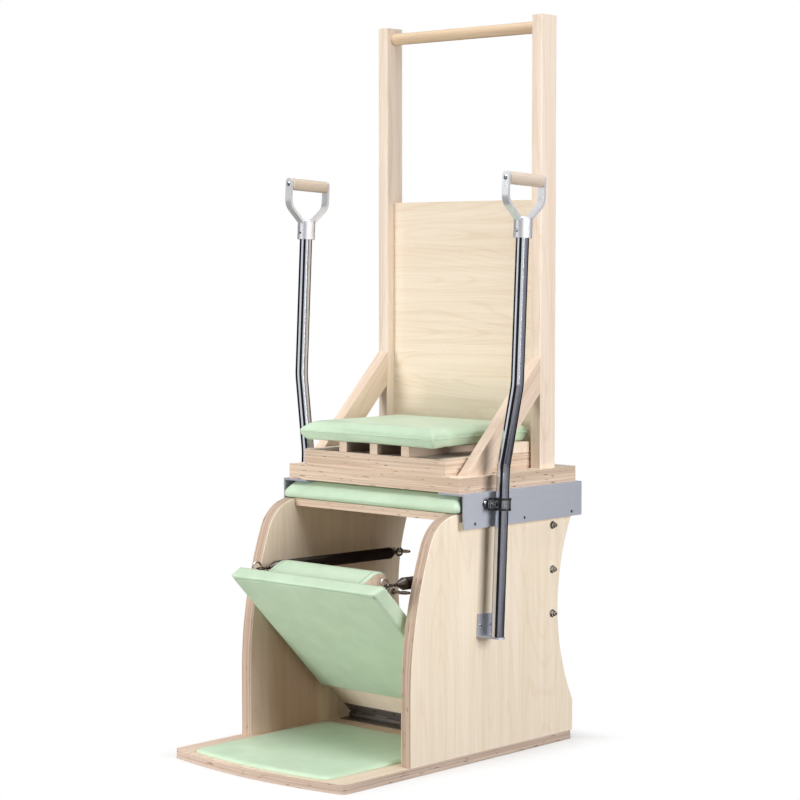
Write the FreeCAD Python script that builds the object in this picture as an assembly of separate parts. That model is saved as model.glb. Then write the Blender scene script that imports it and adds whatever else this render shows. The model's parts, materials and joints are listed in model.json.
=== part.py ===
"""Pilates chair with a sprung pedal, a lift-off seat unit with a high back, and two handle poles.

Millimetres, +Z up, -Y to the front, +X to the right as seen from the front.
The origin is on the floor, at the middle of the object's width and depth.
"""
import FreeCAD
import Part
import math
import os

V = FreeCAD.Vector
ORIGIN = V(0, 0, 0)
ALONG_X = V(1, 0, 0)
ALONG_Y = V(0, 1, 0)
ALONG_Z = V(0, 0, 1)
full_turn = 360.0

# Fits shared by every piece
fit_gap = 0.1
run_gap = 0.4
seat_gap = 0.3
cut_overrun = 5.0
tiny = 0.01

# Base board
base_width = 570.0
base_side_depth = 824.0
base_front_bow = 32.0
base_thickness = 22.0
base_corner_radius = 15.0

# Side panels
panel_thickness = 32.0
panel_height = 580.0
panel_front_setback = 220.0
panel_front_straight = 158.0
panel_front_radius = 980.0
panel_shoulder_height = 514.0
panel_rear_foot = 78.0
panel_rear_hollow_height = 480.0
panel_rear_hollow_depth = 60.5
panel_edge_radius = 4.0

# Seat board and its pad
seat_board_thickness = 18.0
seat_board_depth = 437.0
seat_board_rear_inset = 10.0
lower_pad_height = 42.0
lower_pad_front_overhang = 10.0
lower_pad_side_inset = 0.5
lower_pad_corner_radius = 14.0
lower_pad_rail_gap = 1.5
lower_pad_edge_inset = 16.0
lower_pad_draw = 3.0
lower_pad_side_share = 0.3
dowel_radius = 4.0
dowel_length = 50.0
dowel_depth_in_panel = 22.0
dowel_count = 3

# Floor pad
floor_pad_side_margin = 29.0
floor_pad_hinge_margin = 63.4
floor_pad_front_margin = 17.0
floor_pad_thickness = 9.0
floor_pad_bevel = 14.0
floor_pad_corner_radius = 16.0

# Piano hinge of the pedal
hinge_pin_from_rear = 264.0
hinge_end_inset = 3.0
hinge_knuckle_radius = 6.5
hinge_knuckle_count = 11
hinge_pin_radius = 2.5
hinge_leaf_width = 38.0
hinge_leaf_thickness = 2.0
hinge_screw_setback = 27.0
hinge_screw_count = 7
hinge_knuckle_gap = 0.4

# Pedal
pedal_rest_angle = 45.0
pedal_board_thickness = 18.0
pedal_side_gap = 10.0
pedal_length = 585.0
pedal_end_slope = 15.5
pedal_pad_thickness = 20.5
pedal_pad_start = 138.0
pedal_pad_wrap = 4.0
pedal_face_inset = 4.0
pedal_pad_corner_radius = 9.0
pedal_pad_edge_round = 5.0
foot_bar_side_inset = 79.0
foot_bar_foot_width = 110.0
foot_bar_shoulder_width = 73.0
foot_bar_shoulder_height = 51.0
foot_bar_height = 75.0
foot_bar_end_setback = 10.0
foot_bar_cover_thickness = 5.0
foot_bar_screw_count = 3

# Eyes on the pedal
spring_from_panel = 39.0
eye_wire_radius = 2.5
eye_inner_radius = 11.0
eye_height = 21.5
eye_end_setback = 40.0
eye_shank_radius = 3.0
eye_shank_depth = 13.0
eye_collar_radius = 6.5
eye_collar_height = 3.0

# Spring anchors in the side panels
anchor_from_rear = 85.0
anchor_below_seat = 38.0
anchor_spacing = 110.0
anchor_count = 3
anchor_spring_index = 1
anchor_wire_radius = 3.0
anchor_inner_radius = 9.0
anchor_straight = 8.0
anchor_shank_radius = 4.0
anchor_collar_radius = 8.0
anchor_collar_height = 3.0
anchor_thread_proud = 5.0
washer_radius = 10.0
washer_thickness = 1.6
nut_across_flats = 13.0
nut_height = 6.5
anchor_nut_turn = 17.0

# Extension springs and their hooks
spring_wire_radius = 2.7
spring_outer_radius = 15.0
spring_turns = 46
hook_wire_radius = 2.5
hook_bend_radius = 9.0
hook_mouth = 7.0
hook_shank_length = 6.0
front_hook_straight = 13.0
rear_hook_straight = 4.0
rear_hook_play = 0.8
front_hook_rest_back = 5.0
front_hook_rest_drop = 4.0
spring_cap_length = 22.0
spring_cap_rim = 3.0
spring_cap_neck_radius = 4.0

# Rails of the seat unit
rail_thickness = 5.0
rail_web_height = 84.0
rail_flange_width = 81.0
rail_length = 446.0
rail_rear_overhang = 9.0
glide_thickness = 12.2
glide_height = 17.0
rail_screw_count = 3
rail_screw_end_inset = 40.0
rail_screw_height = 11.5

# Deck, riser, ribs and upper pad
deck_thickness = 37.2
deck_side_overhang = 1.5
deck_end_inset = 2.5
deck_corner_radius = 4.0
riser_thickness = 40.0
riser_side_gap = 5.0
riser_front_setback = 6.0
rib_width = 25.0
rib_height = 25.5
rib_side_inset = 132.5
rib_count = 3
rib_front_setback = 2.0
rear_rail_depth = 60.0
upper_pad_side_gap = 20.0
upper_pad_height = 45.0
upper_pad_front_overhang = 28.0
upper_pad_rear_gap = 8.0
upper_pad_corner_radius = 14.0
upper_pad_edge_inset = 13.0
upper_pad_draw = 5.0

# Posts, braces, back panel and top bar
post_side_inset = 12.5
post_width = 31.0
post_depth = 58.5
post_height = 1110.4
post_rear_inset = 66.5
post_edge_radius = 2.5
brace_depth = 60.0
brace_foot_setback = 273.0
brace_angle = 45.0
back_panel_thickness = 18.0
back_panel_setback = 25.0
back_panel_height = 661.0
top_bar_radius = 15.0
top_bar_below_top = 28.0
top_bar_tenon_radius = 10.0
top_bar_tenon_length = 20.0
deck_screw_count = 4
deck_screw_end_inset = 50.0

# Handle poles
pole_radius = 16.0
pole_wall = 2.0
pole_lean = 2.9
pole_foot_from_rear = 344.8
pole_foot_z = 304.0
pole_lower_offset = 43.5
pole_upper_outset = 33.0
pole_bend_start = 404.0
pole_bend_end = 601.0
pole_bend_radius = 150.0
pole_length = 984.0

# D-handle
socket_radius = 22.5
socket_length = 51.0
socket_overlap = 35.0
yoke_width = 20.0
yoke_thickness = 7.0
yoke_span = 140.0
yoke_arm_straight = 37.0
yoke_bend_radius = 33.0
yoke_bend_angle = 50.0
yoke_web_drop = 50.0
yoke_blend_radius = 10.0
yoke_crown_radius = 6.0
yoke_arm_above_grip = 15.0
grip_radius = 15.0
grip_end_gap = 0.3
grip_edge_radius = 3.0
handle_bolt_radius = 4.0
handle_bolt_head_radius = 6.0
handle_bolt_head_height = 2.8
handle_bolt_socket_radius = 2.6
handle_bolt_socket_depth = 2.0
rivet_radius = 2.5
rivet_head_radius = 4.5
rivet_head_height = 1.6

# Brackets under the poles
bracket_thickness = 4.0
bracket_half_width = 27.0
bracket_plate_height = 52.0
bracket_shelf_radius = 18.0
bracket_spigot_radius = 12.5
bracket_spigot_height = 18.0
bracket_screw_spread = 17.0
bracket_screw_height = 25.0

# Clamps that hold the poles to the rails
clamp_height_on_pole = 317.0
clamp_liner_thickness = 2.2
clamp_band_thickness = 2.2
clamp_band_height = 20.0
clamp_lip = 4.8
clamp_lip_proud = 0.8
clamp_ear_length = 16.0
clamp_ear_gap = 2.4
clamp_ear_inset = 8.0
clamp_foot_thickness = 2.5
clamp_saddle_half_width = 10.0
clamp_bolt_forward = 33.0
clamp_bolt_radius = 3.0
clamp_dome_radius = 7.5
clamp_dome_height = 5.0
clamp_ear_bolt_radius = 2.5
clamp_ear_head_radius = 5.0
clamp_ear_head_height = 3.5

# Screws: head radius, head height, shank radius, length
hinge_screw = (4.0, 2.0, 1.9, 14.0)
base_screw = (5.5, 4.0, 2.5, 62.0)
base_screw_count = 3
base_screw_end_inset = 70.0
deck_screw = (5.0, 3.5, 2.4, 36.0)
rail_screw = (3.8, 2.2, 2.0, 15.0)
bracket_screw = (4.5, 2.6, 2.4, 26.0)
foot_bar_screw = (4.5, 3.0, 2.2, 48.0)

# Forms of the pads: shares of the height and of the edge inset, from the underside up
lower_pad_shares = ((0.0, 0.4), (0.12, 0.08), (0.26, 0.0), (0.42, 0.2), (0.6, 0.7), (0.78, 1.5), (0.92, 2.6),
                    (1.0, 4.0))
upper_pad_shares = ((0.0, 0.9), (0.16, 0.35), (0.46, 0.0), (0.54, 0.0), (0.8, 0.4), (0.94, 1.3), (1.0, 5.0))
floor_pad_shares = ((0.0, 0.0), (0.45, 0.0), (0.82, 0.7), (1.0, 1.6))

# Places that follow from the sizes above
overall_depth = base_front_bow + base_side_depth + rail_rear_overhang
base_front_y = -overall_depth / 2
base_side_front_y = base_front_y + base_front_bow
base_rear_y = base_side_front_y + base_side_depth
base_bow_radius = ((base_width / 2) ** 2 + base_front_bow ** 2) / (2 * base_front_bow)
panel_outer_x = base_width / 2
panel_inner_x = panel_outer_x - panel_thickness
panel_front_y = base_side_front_y + panel_front_setback
pedal_board_half_width = panel_inner_x - pedal_side_gap - pedal_pad_wrap
foot_bar_half_length = pedal_board_half_width - foot_bar_side_inset
hinge_half_length = pedal_board_half_width - hinge_end_inset
spring_x = panel_inner_x - spring_from_panel
floor_pad_half_width = panel_inner_x - floor_pad_side_margin
seat_top_z = base_thickness + panel_height
seat_rear_y = base_rear_y - seat_board_rear_inset
seat_front_y = seat_rear_y - seat_board_depth
hinge_y = base_rear_y - hinge_pin_from_rear
hinge_z = base_thickness + hinge_knuckle_radius + run_gap
floor_pad_rear_y = hinge_y - hinge_leaf_width - floor_pad_hinge_margin
pedal_board_low = hinge_knuckle_radius + run_gap
pedal_board_high = pedal_board_low + pedal_board_thickness
pedal_face = pedal_board_low - pedal_pad_thickness
anchor_y = base_rear_y - anchor_from_rear
anchor_ring_radius = anchor_inner_radius + anchor_wire_radius
anchor_high_z = seat_top_z - seat_board_thickness - anchor_below_seat
anchor_low_z = anchor_high_z - anchor_spacing * (anchor_count - 1)
spring_anchor_z = anchor_low_z + anchor_spacing * anchor_spring_index
eye_ring_radius = eye_inner_radius + eye_wire_radius
rail_outer_x = panel_outer_x + seat_gap + glide_thickness + rail_thickness
rail_inner_x = rail_outer_x - rail_thickness
rail_rear_y = overall_depth / 2
rail_front_y = rail_rear_y - rail_length
deck_low_z = seat_top_z + lower_pad_height + seat_gap + rail_thickness
deck_high_z = deck_low_z + deck_thickness
rail_low_z = deck_low_z - rail_web_height
deck_half_width = panel_outer_x + deck_side_overhang
deck_front_y = rail_front_y + deck_end_inset
deck_rear_y = rail_rear_y - deck_end_inset
post_outer_x = panel_outer_x - post_side_inset
post_inner_x = post_outer_x - post_width
post_rear_y = deck_rear_y - post_rear_inset
post_front_y = post_rear_y - post_depth
back_panel_front_y = post_front_y + back_panel_setback
riser_half_width = post_inner_x - riser_side_gap
riser_front_y = deck_front_y + riser_front_setback
riser_high_z = deck_high_z + riser_thickness
rib_front_y = riser_front_y + rib_front_setback
rear_rail_front_y = post_front_y - rear_rail_depth
upper_pad_half_width = post_inner_x - upper_pad_side_gap
upper_pad_low_z = riser_high_z + rib_height
pole_x = panel_outer_x + pole_lower_offset
pole_foot = V(pole_x, base_rear_y - pole_foot_from_rear, pole_foot_z)
liner_inner_radius = pole_radius + seat_gap
band_inner_radius = liner_inner_radius + clamp_liner_thickness
band_outer_radius = band_inner_radius + clamp_band_thickness


def box(x0, x1, y0, y1, z0, z1):
    """Block between two corners."""
    return Part.makeBox(x1 - x0, y1 - y0, z1 - z0, V(x0, y0, z0))


def rod(radius, length, start, axis):
    """Round bar from a point along an axis."""
    return Part.makeCylinder(radius, length, start, axis)


def ring(mean_radius, wire_radius, centre, axis):
    """Ring of round wire."""
    return Part.makeTorus(mean_radius, wire_radius, centre, axis)


def mirrored(shape):
    """The same piece on the other side of the middle plane."""
    return shape.mirror(ORIGIN, ALONG_X)


def both_sides(shapes):
    """A list of right-hand pieces and their left-hand twins."""
    return list(shapes) + [mirrored(shape) for shape in shapes]


def drilled(shape, holes):
    """A piece with holes cut in it."""
    return shape.cut(Part.makeCompound(list(holes)))


def prism(points, push):
    """Straight prism on a closed outline of points."""
    return Part.Face(Part.makePolygon(list(points) + [points[0]])).extrude(push)


def save(name, shapes):
    """Write one node: a piece, or a group of alike pieces."""
    shape = shapes if isinstance(shapes, Part.Shape) else Part.makeCompound(list(shapes))
    shape.exportStep("parts/" + name + ".step")
    solids = len(shape.Solids)
    print(name, "solids", solids, "valid", shape.isValid(), "volume", round(shape.Volume))


def spread(first, last, count):
    """Evenly spaced places from first to last."""
    return [first + (last - first) * index / (count - 1) for index in range(count)]


def flat_screw(size, place, axis, extra=0.0):
    """Countersunk screw: its head's flat face at a place, its shank along the axis."""
    head_radius, head_height, shank_radius, length = size
    head = Part.makeCone(head_radius + extra, shank_radius + extra, head_height, place, axis)
    return head.fuse(rod(shank_radius + extra, length + extra, place, axis)).removeSplitter()


def pan_screw(size, place, axis, extra=0.0):
    """Pan-head screw: its head stands on the place, its shank goes on along the axis."""
    head_radius, head_height, shank_radius, length = size
    shank = rod(shank_radius + extra, length + extra, place, axis)
    if extra:
        return shank
    return shank.fuse(dome(head_radius, head_height, place, -axis)).removeSplitter()


def dome(radius, height, place, axis):
    """Dome head that stands on a place along an axis."""
    ball = (radius ** 2 + height ** 2) / (2 * height)
    centre = place + axis * (height - ball)
    return Part.makeSphere(ball, centre).common(rod(radius, 2 * height, place, axis))


def upright_edges(shape):
    """The straight edges of a shape that run along Z."""
    return [edge for edge in shape.Edges
            if len(edge.Vertexes) == 2 and abs(edge.tangentAt(edge.FirstParameter).z) > 1 - tiny]


def softened(shape, radius):
    """A board with its upright edges rounded."""
    return shape.makeFillet(radius, upright_edges(shape))


def corner_cut(radius):
    """How far the middle of a quarter round lies inside its square corner, along either side."""
    return radius * (1 - math.sqrt(0.5))


def round_outline(x0, x1, y0, y1, z, radius, draw):
    """Closed outline of four sides that are drawn in by an amount at their middle, and four round corners."""
    mid_x = (x0 + x1) / 2
    mid_y = (y0 + y1) / 2
    cut = corner_cut(radius)
    sides = (((x0 + radius, y0), (mid_x, y0 + draw), (x1 - radius, y0), (x1 - cut, y0 + cut)),
             ((x1, y0 + radius), (x1 - draw, mid_y), (x1, y1 - radius), (x1 - cut, y1 - cut)),
             ((x1 - radius, y1), (mid_x, y1 - draw), (x0 + radius, y1), (x0 + cut, y1 - cut)),
             ((x0, y1 - radius), (x0 + draw, mid_y), (x0, y0 + radius), (x0 + cut, y0 + cut)))
    points = [[V(x, y, z) for x, y in side] for side in sides]
    edges = []
    for index, (start, middle, end, corner) in enumerate(points):
        following = points[(index + 1) % len(points)][0]
        side = Part.Arc(start, middle, end) if draw else Part.LineSegment(start, end)
        edges += [side.toShape(), Part.Arc(end, corner, following).toShape()]
    return Part.Wire(edges)


def cushion(x0, x1, y0, y1, low, height, shares, edge_inset, radius, draw, side_share=1.0):
    """Crowned pad: outlines that narrow by a share of the edge inset at each share of the height."""
    outlines = []
    for height_share, inset_share in shares:
        inset = edge_inset * inset_share
        side = inset * side_share
        outlines.append(round_outline(x0 + side, x1 - side, y0 + inset, y1 - inset,
                                      low + height * height_share, radius, draw))
    return Part.makeLoft(outlines, True, True)


# Lower chair

def base_board():
    """Plywood base with a bowed front edge."""
    half = base_width / 2
    left = V(-half, base_side_front_y, 0)
    right = V(half, base_side_front_y, 0)
    front = Part.Arc(left, V(0, base_front_y, 0), right).toShape()
    rest = Part.makePolygon([right, V(half, base_rear_y, 0), V(-half, base_rear_y, 0), left])
    board = Part.Face(Part.Wire([front] + rest.Edges)).extrude(ALONG_Z * base_thickness)
    board = softened(board, base_corner_radius)
    return drilled(board, both_sides(base_screws(fit_gap)) + hinge_base_screws(fit_gap))


def base_screws(extra=0.0):
    """Right-hand screws that go up through the base into the side panel."""
    x = panel_outer_x - panel_thickness / 2
    first = panel_front_y + base_screw_end_inset
    last = base_rear_y - base_screw_end_inset
    return [flat_screw(base_screw, V(x, y, fit_gap - extra), ALONG_Z, extra)
            for y in spread(first, last, base_screw_count)]


def panel_outline(x):
    """Side panel outline: two front arcs that meet at the shoulder, and one hollow arc behind."""
    low = base_thickness
    bend_z = low + panel_front_straight
    shoulder_z = low + panel_shoulder_height
    turn = math.asin((shoulder_z - bend_z) / panel_front_radius)

    def front_arc(angle):
        return V(x, panel_front_y + panel_front_radius * (1 - math.cos(angle)),
                 bend_z + panel_front_radius * math.sin(angle))

    shoulder = front_arc(turn)
    shoulder_radius = (seat_top_z - shoulder_z) / (1 - math.sin(turn))
    centre_y = shoulder.y + shoulder_radius * math.cos(turn)
    centre_z = seat_top_z - shoulder_radius
    mid_turn = (turn + math.pi / 2) / 2
    shoulder_mid = V(x, centre_y - shoulder_radius * math.cos(mid_turn),
                     centre_z + shoulder_radius * math.sin(mid_turn))
    crest = V(x, centre_y, seat_top_z)
    hollow_low = V(x, base_rear_y, low + panel_rear_foot)
    hollow_mid = V(x, base_rear_y - panel_rear_hollow_depth, hollow_low.z + panel_rear_hollow_height / 2)
    hollow_high = V(x, base_rear_y, hollow_low.z + panel_rear_hollow_height)
    edges = [Part.LineSegment(V(x, panel_front_y, low), V(x, panel_front_y, bend_z)),
             Part.Arc(V(x, panel_front_y, bend_z), front_arc(turn / 2), shoulder),
             Part.Arc(shoulder, shoulder_mid, crest),
             Part.LineSegment(crest, V(x, base_rear_y, seat_top_z)),
             Part.LineSegment(V(x, base_rear_y, seat_top_z), hollow_high),
             Part.Arc(hollow_high, hollow_mid, hollow_low),
             Part.LineSegment(hollow_low, V(x, base_rear_y, low)),
             Part.LineSegment(V(x, base_rear_y, low), V(x, panel_front_y, low))]
    return Part.Wire([edge.toShape() for edge in edges])


def side_panel():
    """Right side panel with rounded edges and its fastener holes."""
    panel = Part.Face(panel_outline(panel_inner_x)).extrude(ALONG_X * panel_thickness)
    crest_low = seat_top_z - tiny
    edges = []
    for edge in panel.Edges:
        middle = edge.valueAt((edge.FirstParameter + edge.LastParameter) / 2)
        on_face = abs(middle.x - panel_inner_x) < tiny or abs(middle.x - panel_outer_x) < tiny
        if on_face and base_thickness + tiny < middle.z < crest_low:
            edges.append(edge)
    panel = panel.makeFillet(panel_edge_radius, edges)
    holes = base_screws(fit_gap) + seat_dowels(fit_gap) + bracket_screws(fit_gap)
    holes += [rod(anchor_shank_radius + fit_gap, panel_thickness + 2 * cut_overrun,
                  place - ALONG_X * cut_overrun, ALONG_X) for place in anchor_holes()]
    return drilled(panel, holes)


def seat_board():
    """Board between the side panels."""
    board = box(-panel_inner_x, panel_inner_x, seat_front_y, seat_rear_y,
                seat_top_z - seat_board_thickness, seat_top_z)
    return drilled(board, both_sides(seat_dowels(fit_gap)))


def seat_dowels(extra=0.0):
    """Right-hand dowels between the seat board and the side panel."""
    x = panel_inner_x + dowel_depth_in_panel - dowel_length - extra
    z = seat_top_z - seat_board_thickness / 2
    inset = seat_board_depth / (dowel_count + 1)
    return [rod(dowel_radius + extra, dowel_length + 2 * extra, V(x, y, z), ALONG_X)
            for y in spread(seat_front_y + inset, seat_rear_y - inset, dowel_count)]


def lower_seat_pad():
    """Pad on the seat board: it bulges out in front of the rails and is held narrower between them."""
    wide = rail_inner_x - lower_pad_rail_gap
    held = panel_outer_x - lower_pad_side_inset
    pad = cushion(-wide, wide, seat_front_y - lower_pad_front_overhang, seat_rear_y, seat_top_z,
                  lower_pad_height, lower_pad_shares, lower_pad_edge_inset,
                  lower_pad_corner_radius, lower_pad_draw, lower_pad_side_share)
    room = box(held, wide + cut_overrun, rail_front_y - lower_pad_rail_gap, seat_rear_y + cut_overrun,
               seat_top_z - cut_overrun, seat_top_z + lower_pad_height + cut_overrun)
    return drilled(pad, both_sides([room]))


def floor_pad_outline(inset, z):
    """Floor pad outline: its front edge is concentric with the base's bowed edge."""
    centre_y = base_front_y + base_bow_radius
    bow = base_bow_radius - floor_pad_front_margin - inset
    side = floor_pad_half_width - inset
    turn = side - floor_pad_corner_radius
    rear = floor_pad_rear_y - inset

    def front(x):
        return centre_y - math.sqrt(bow ** 2 - x ** 2)

    lift = floor_pad_corner_radius
    cut = corner_cut(lift)
    right = V(side, front(side) + lift, z)
    left = V(-side, front(side) + lift, z)
    edges = [Part.Arc(V(-turn, front(turn), z), V(0, front(0), z), V(turn, front(turn), z)),
             Part.Arc(V(turn, front(turn), z), V(side - cut, front(side) + cut, z), right),
             Part.LineSegment(right, V(side, rear, z)),
             Part.LineSegment(V(side, rear, z), V(-side, rear, z)),
             Part.LineSegment(V(-side, rear, z), left),
             Part.Arc(left, V(cut - side, front(side) + cut, z), V(-turn, front(turn), z))]
    return Part.Wire([edge.toShape() for edge in edges])


def floor_pad():
    """Thin standing pad with a bevelled border."""
    outlines = [floor_pad_outline(floor_pad_bevel * inset_share,
                                  base_thickness + floor_pad_thickness * height_share)
                for height_share, inset_share in floor_pad_shares]
    return Part.makeLoft(outlines, True, True)


# Spring anchors

def anchor_holes():
    """Places of the right-hand anchors on the inner face of the panel."""
    return [V(panel_inner_x, anchor_y, z) for z in spread(anchor_low_z, anchor_high_z, anchor_count)]


def anchor_stack_x():
    """Where the washer, the nut and the end of the thread lie outside the panel."""
    washer_end = panel_outer_x + washer_thickness
    nut_end = washer_end + nut_height
    return washer_end, nut_end, nut_end + anchor_thread_proud


def spring_anchors():
    """Right-hand eyebolts: a flat oval eye, a collar on the panel and a shank through it."""
    bolts = []
    for place in anchor_holes():
        start = V(spring_x + anchor_straight / 2 + anchor_ring_radius, place.y, place.z)
        shank = rod(anchor_shank_radius, anchor_stack_x()[2] - start.x, start, ALONG_X)
        collar = rod(anchor_collar_radius, anchor_collar_height, place, -ALONG_X)
        pieces = anchor_eye(V(spring_x, place.y, place.z))
        bolts.append(shank.fuse([collar] + pieces).removeSplitter())
    return bolts


def anchor_eye(centre):
    """The oval eye's two straight wires along X and the half rings at their ends."""
    pieces = []
    for side in (-1, 1):
        half = Part.makeTorus(anchor_ring_radius, anchor_wire_radius, ORIGIN, ALONG_Z,
                              0, full_turn, full_turn / 2)
        half.rotate(ORIGIN, ALONG_Z, -side * full_turn / 4)
        half.translate(centre + ALONG_X * (side * anchor_straight / 2))
        wire_start = V(centre.x - anchor_straight / 2, centre.y + side * anchor_ring_radius, centre.z)
        pieces += [half, rod(anchor_wire_radius, anchor_straight, wire_start, ALONG_X)]
    return pieces


def anchor_washers():
    """Right-hand washers on the outer face of the panel."""
    washers = []
    for place in anchor_holes():
        start = V(panel_outer_x, place.y, place.z)
        disc = rod(washer_radius, washer_thickness, start, ALONG_X)
        washers.append(disc.cut(rod(anchor_shank_radius + fit_gap, washer_thickness, start, ALONG_X)))
    return washers


def hexagon(across_flats, height, place, axis_turn):
    """Hexagonal block that stands along X on a place."""
    corner = across_flats / math.sqrt(3)
    angles = [math.radians(axis_turn) + math.pi / 3 * index for index in range(6)]
    points = [place + V(0, corner * math.cos(angle), corner * math.sin(angle)) for angle in angles]
    return prism(points, ALONG_X * height)


def anchor_nuts():
    """Right-hand nuts on the washers."""
    nuts = []
    for index, place in enumerate(anchor_holes()):
        start = V(anchor_stack_x()[0], place.y, place.z)
        block = hexagon(nut_across_flats, nut_height, start, index * anchor_nut_turn)
        nuts.append(block.cut(rod(anchor_shank_radius + fit_gap, nut_height, start, ALONG_X)))
    return nuts


# Piano hinge

def hinge_screw_places():
    """Places of the leaf screws across the hinge."""
    inset = hinge_half_length / hinge_screw_count
    return spread(inset - hinge_half_length, hinge_half_length - inset, hinge_screw_count)


def hinge_leaf(first):
    """One leaf with every other knuckle, flat at the front of the pin, its upper face on the board."""
    step = 2 * hinge_half_length / hinge_knuckle_count
    high = pedal_board_low
    low = high - hinge_leaf_thickness
    near = hinge_knuckle_radius + run_gap
    leaf = box(-hinge_half_length, hinge_half_length, -hinge_leaf_width, -near, low, high)
    pieces = []
    for index in range(first, hinge_knuckle_count, 2):
        start = index * step - hinge_half_length + hinge_knuckle_gap / 2
        length = step - hinge_knuckle_gap
        barrel = rod(hinge_knuckle_radius, length, V(start, 0, 0), ALONG_X)
        web_low = low - hinge_leaf_thickness / 2
        web = box(start, start + length, -near - hinge_leaf_thickness, 0, low, hinge_knuckle_radius)
        gusset = prism([V(start, -near, low), V(start, -near, high), V(start, 0, hinge_knuckle_radius),
                        V(start, 0, web_low)], ALONG_X * length)
        pieces += [barrel, web, gusset]
    bore_start = V(-hinge_half_length - cut_overrun, 0, 0)
    bore = rod(hinge_pin_radius + fit_gap / 2, 2 * (hinge_half_length + cut_overrun), bore_start, ALONG_X)
    return leaf.fuse(pieces).cut(Part.makeCompound([bore] + flat_hinge_screws(fit_gap))).removeSplitter()


def on_base(shape):
    """Turn a leaf or its screws over onto the base board, under the pin."""
    placed = shape.mirror(ORIGIN, ALONG_Z)
    placed.translate(V(0, hinge_y, hinge_z))
    return placed


def on_pedal(shape):
    """Tilt a piece that was made flat, with the pin at the origin, to the pedal's rest angle."""
    placed = shape.copy()
    placed.rotate(ORIGIN, ALONG_X, -pedal_rest_angle)
    placed.translate(V(0, hinge_y, hinge_z))
    return placed


def flat_hinge_screws(extra=0.0):
    """Leaf screws, made flat as the leaf is."""
    low = pedal_board_low - hinge_leaf_thickness
    return [flat_screw(hinge_screw, V(x, -hinge_screw_setback, low), ALONG_Z, extra)
            for x in hinge_screw_places()]


def hinge_base_screws(extra=0.0):
    """Screws of the leaf on the base board."""
    return [on_base(screw) for screw in flat_hinge_screws(extra)]


def hinge_pin():
    """Pin through all the knuckles."""
    return rod(hinge_pin_radius, 2 * hinge_half_length, V(-hinge_half_length, hinge_y, hinge_z), ALONG_X)


# Pedal, made flat with the pin at the origin and the free end to the front

def pedal_end(height):
    """How far the slanted free end reaches at a height above the pin."""
    return pedal_length - pedal_end_slope * (height - pedal_face) / (pedal_board_high - pedal_face)


def pedal_board():
    """Board from the hinge to the wrapped free end."""
    x = pedal_board_half_width
    end_low = pedal_end(pedal_board_low) - pedal_pad_wrap
    end_high = pedal_end(pedal_board_high) - pedal_pad_wrap
    outline = [V(-x, 0, pedal_board_low), V(-x, -end_low, pedal_board_low),
               V(-x, -end_high, pedal_board_high), V(-x, 0, pedal_board_high)]
    board = prism(outline, ALONG_X * (2 * x))
    holes = flat_hinge_screws(fit_gap) + flat_foot_bar_screws(fit_gap) + flat_eye_shanks(fit_gap)
    return drilled(board, holes)


def pedal_pad_outline(height, inset):
    """Pad outline at a height above the pin, narrower towards the face."""
    flare = pedal_face_inset * (pedal_board_high - height) / (pedal_board_high - pedal_face)
    x = pedal_board_half_width + pedal_pad_wrap - flare - inset
    return round_outline(-x, x, inset - pedal_end(height), -pedal_pad_start - inset, height,
                         pedal_pad_corner_radius, 0)


def pedal_pad():
    """Pad under the board that wraps its sides and its free end, with a pocket for the board."""
    rounding = pedal_pad_edge_round
    outlines = [pedal_pad_outline(pedal_face, rounding),
                pedal_pad_outline(pedal_face + corner_cut(rounding), corner_cut(rounding)),
                pedal_pad_outline(pedal_face + rounding, 0),
                pedal_pad_outline(pedal_board_high, 0)]
    outer = Part.makeLoft(outlines, True, True)
    x = pedal_board_half_width + fit_gap
    end_low = pedal_end(pedal_board_low) - pedal_pad_wrap + fit_gap
    high = pedal_board_high + cut_overrun
    end_high = end_low - (pedal_end(pedal_board_low) - pedal_end(high))
    outline = [V(-x, 0, pedal_board_low), V(-x, -end_low, pedal_board_low),
               V(-x, -end_high, high), V(-x, 0, high)]
    return outer.cut(prism(outline, ALONG_X * (2 * x)))


def foot_bar_middle():
    """Place of the foot bar's middle line along the pedal."""
    return foot_bar_end_setback + foot_bar_foot_width / 2 - pedal_end(pedal_board_high)


def foot_bar_outline(inset):
    """Section of the foot bar: two leaning sides and a round top."""
    middle = foot_bar_middle()
    foot = foot_bar_foot_width / 2 - inset
    shoulder = foot_bar_shoulder_width / 2 - inset
    low = pedal_board_high
    shoulder_z = low + foot_bar_shoulder_height
    x = -foot_bar_half_length
    edges = [Part.LineSegment(V(x, middle - foot, low), V(x, middle - shoulder, shoulder_z)),
             Part.Arc(V(x, middle - shoulder, shoulder_z), V(x, middle, low + foot_bar_height - inset),
                      V(x, middle + shoulder, shoulder_z)),
             Part.LineSegment(V(x, middle + shoulder, shoulder_z), V(x, middle + foot, low)),
             Part.LineSegment(V(x, middle + foot, low), V(x, middle - foot, low))]
    return Part.Wire([edge.toShape() for edge in edges])


def foot_bar_block(inset):
    """Foot bar block of a section."""
    return Part.Face(foot_bar_outline(inset)).extrude(ALONG_X * (2 * foot_bar_half_length))


def foot_bar_core():
    """Wooden core with bare ends."""
    return drilled(foot_bar_block(foot_bar_cover_thickness), flat_foot_bar_screws(fit_gap))


def foot_bar_cover():
    """Padded cover over the front, top and back of the core."""
    return foot_bar_block(0).cut(foot_bar_block(foot_bar_cover_thickness))


def flat_foot_bar_screws(extra=0.0):
    """Screws from under the pedal board into the core."""
    middle = foot_bar_middle()
    inset = foot_bar_half_length / foot_bar_screw_count
    return [flat_screw(foot_bar_screw, V(x, middle, pedal_board_low - extra + fit_gap), ALONG_Z, extra)
            for x in spread(inset - foot_bar_half_length, foot_bar_half_length - inset, foot_bar_screw_count)]


def flat_eye_centre():
    """Centre of the right-hand pedal eye's ring."""
    return V(spring_x, eye_end_setback - pedal_length, pedal_board_high + eye_height)


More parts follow.
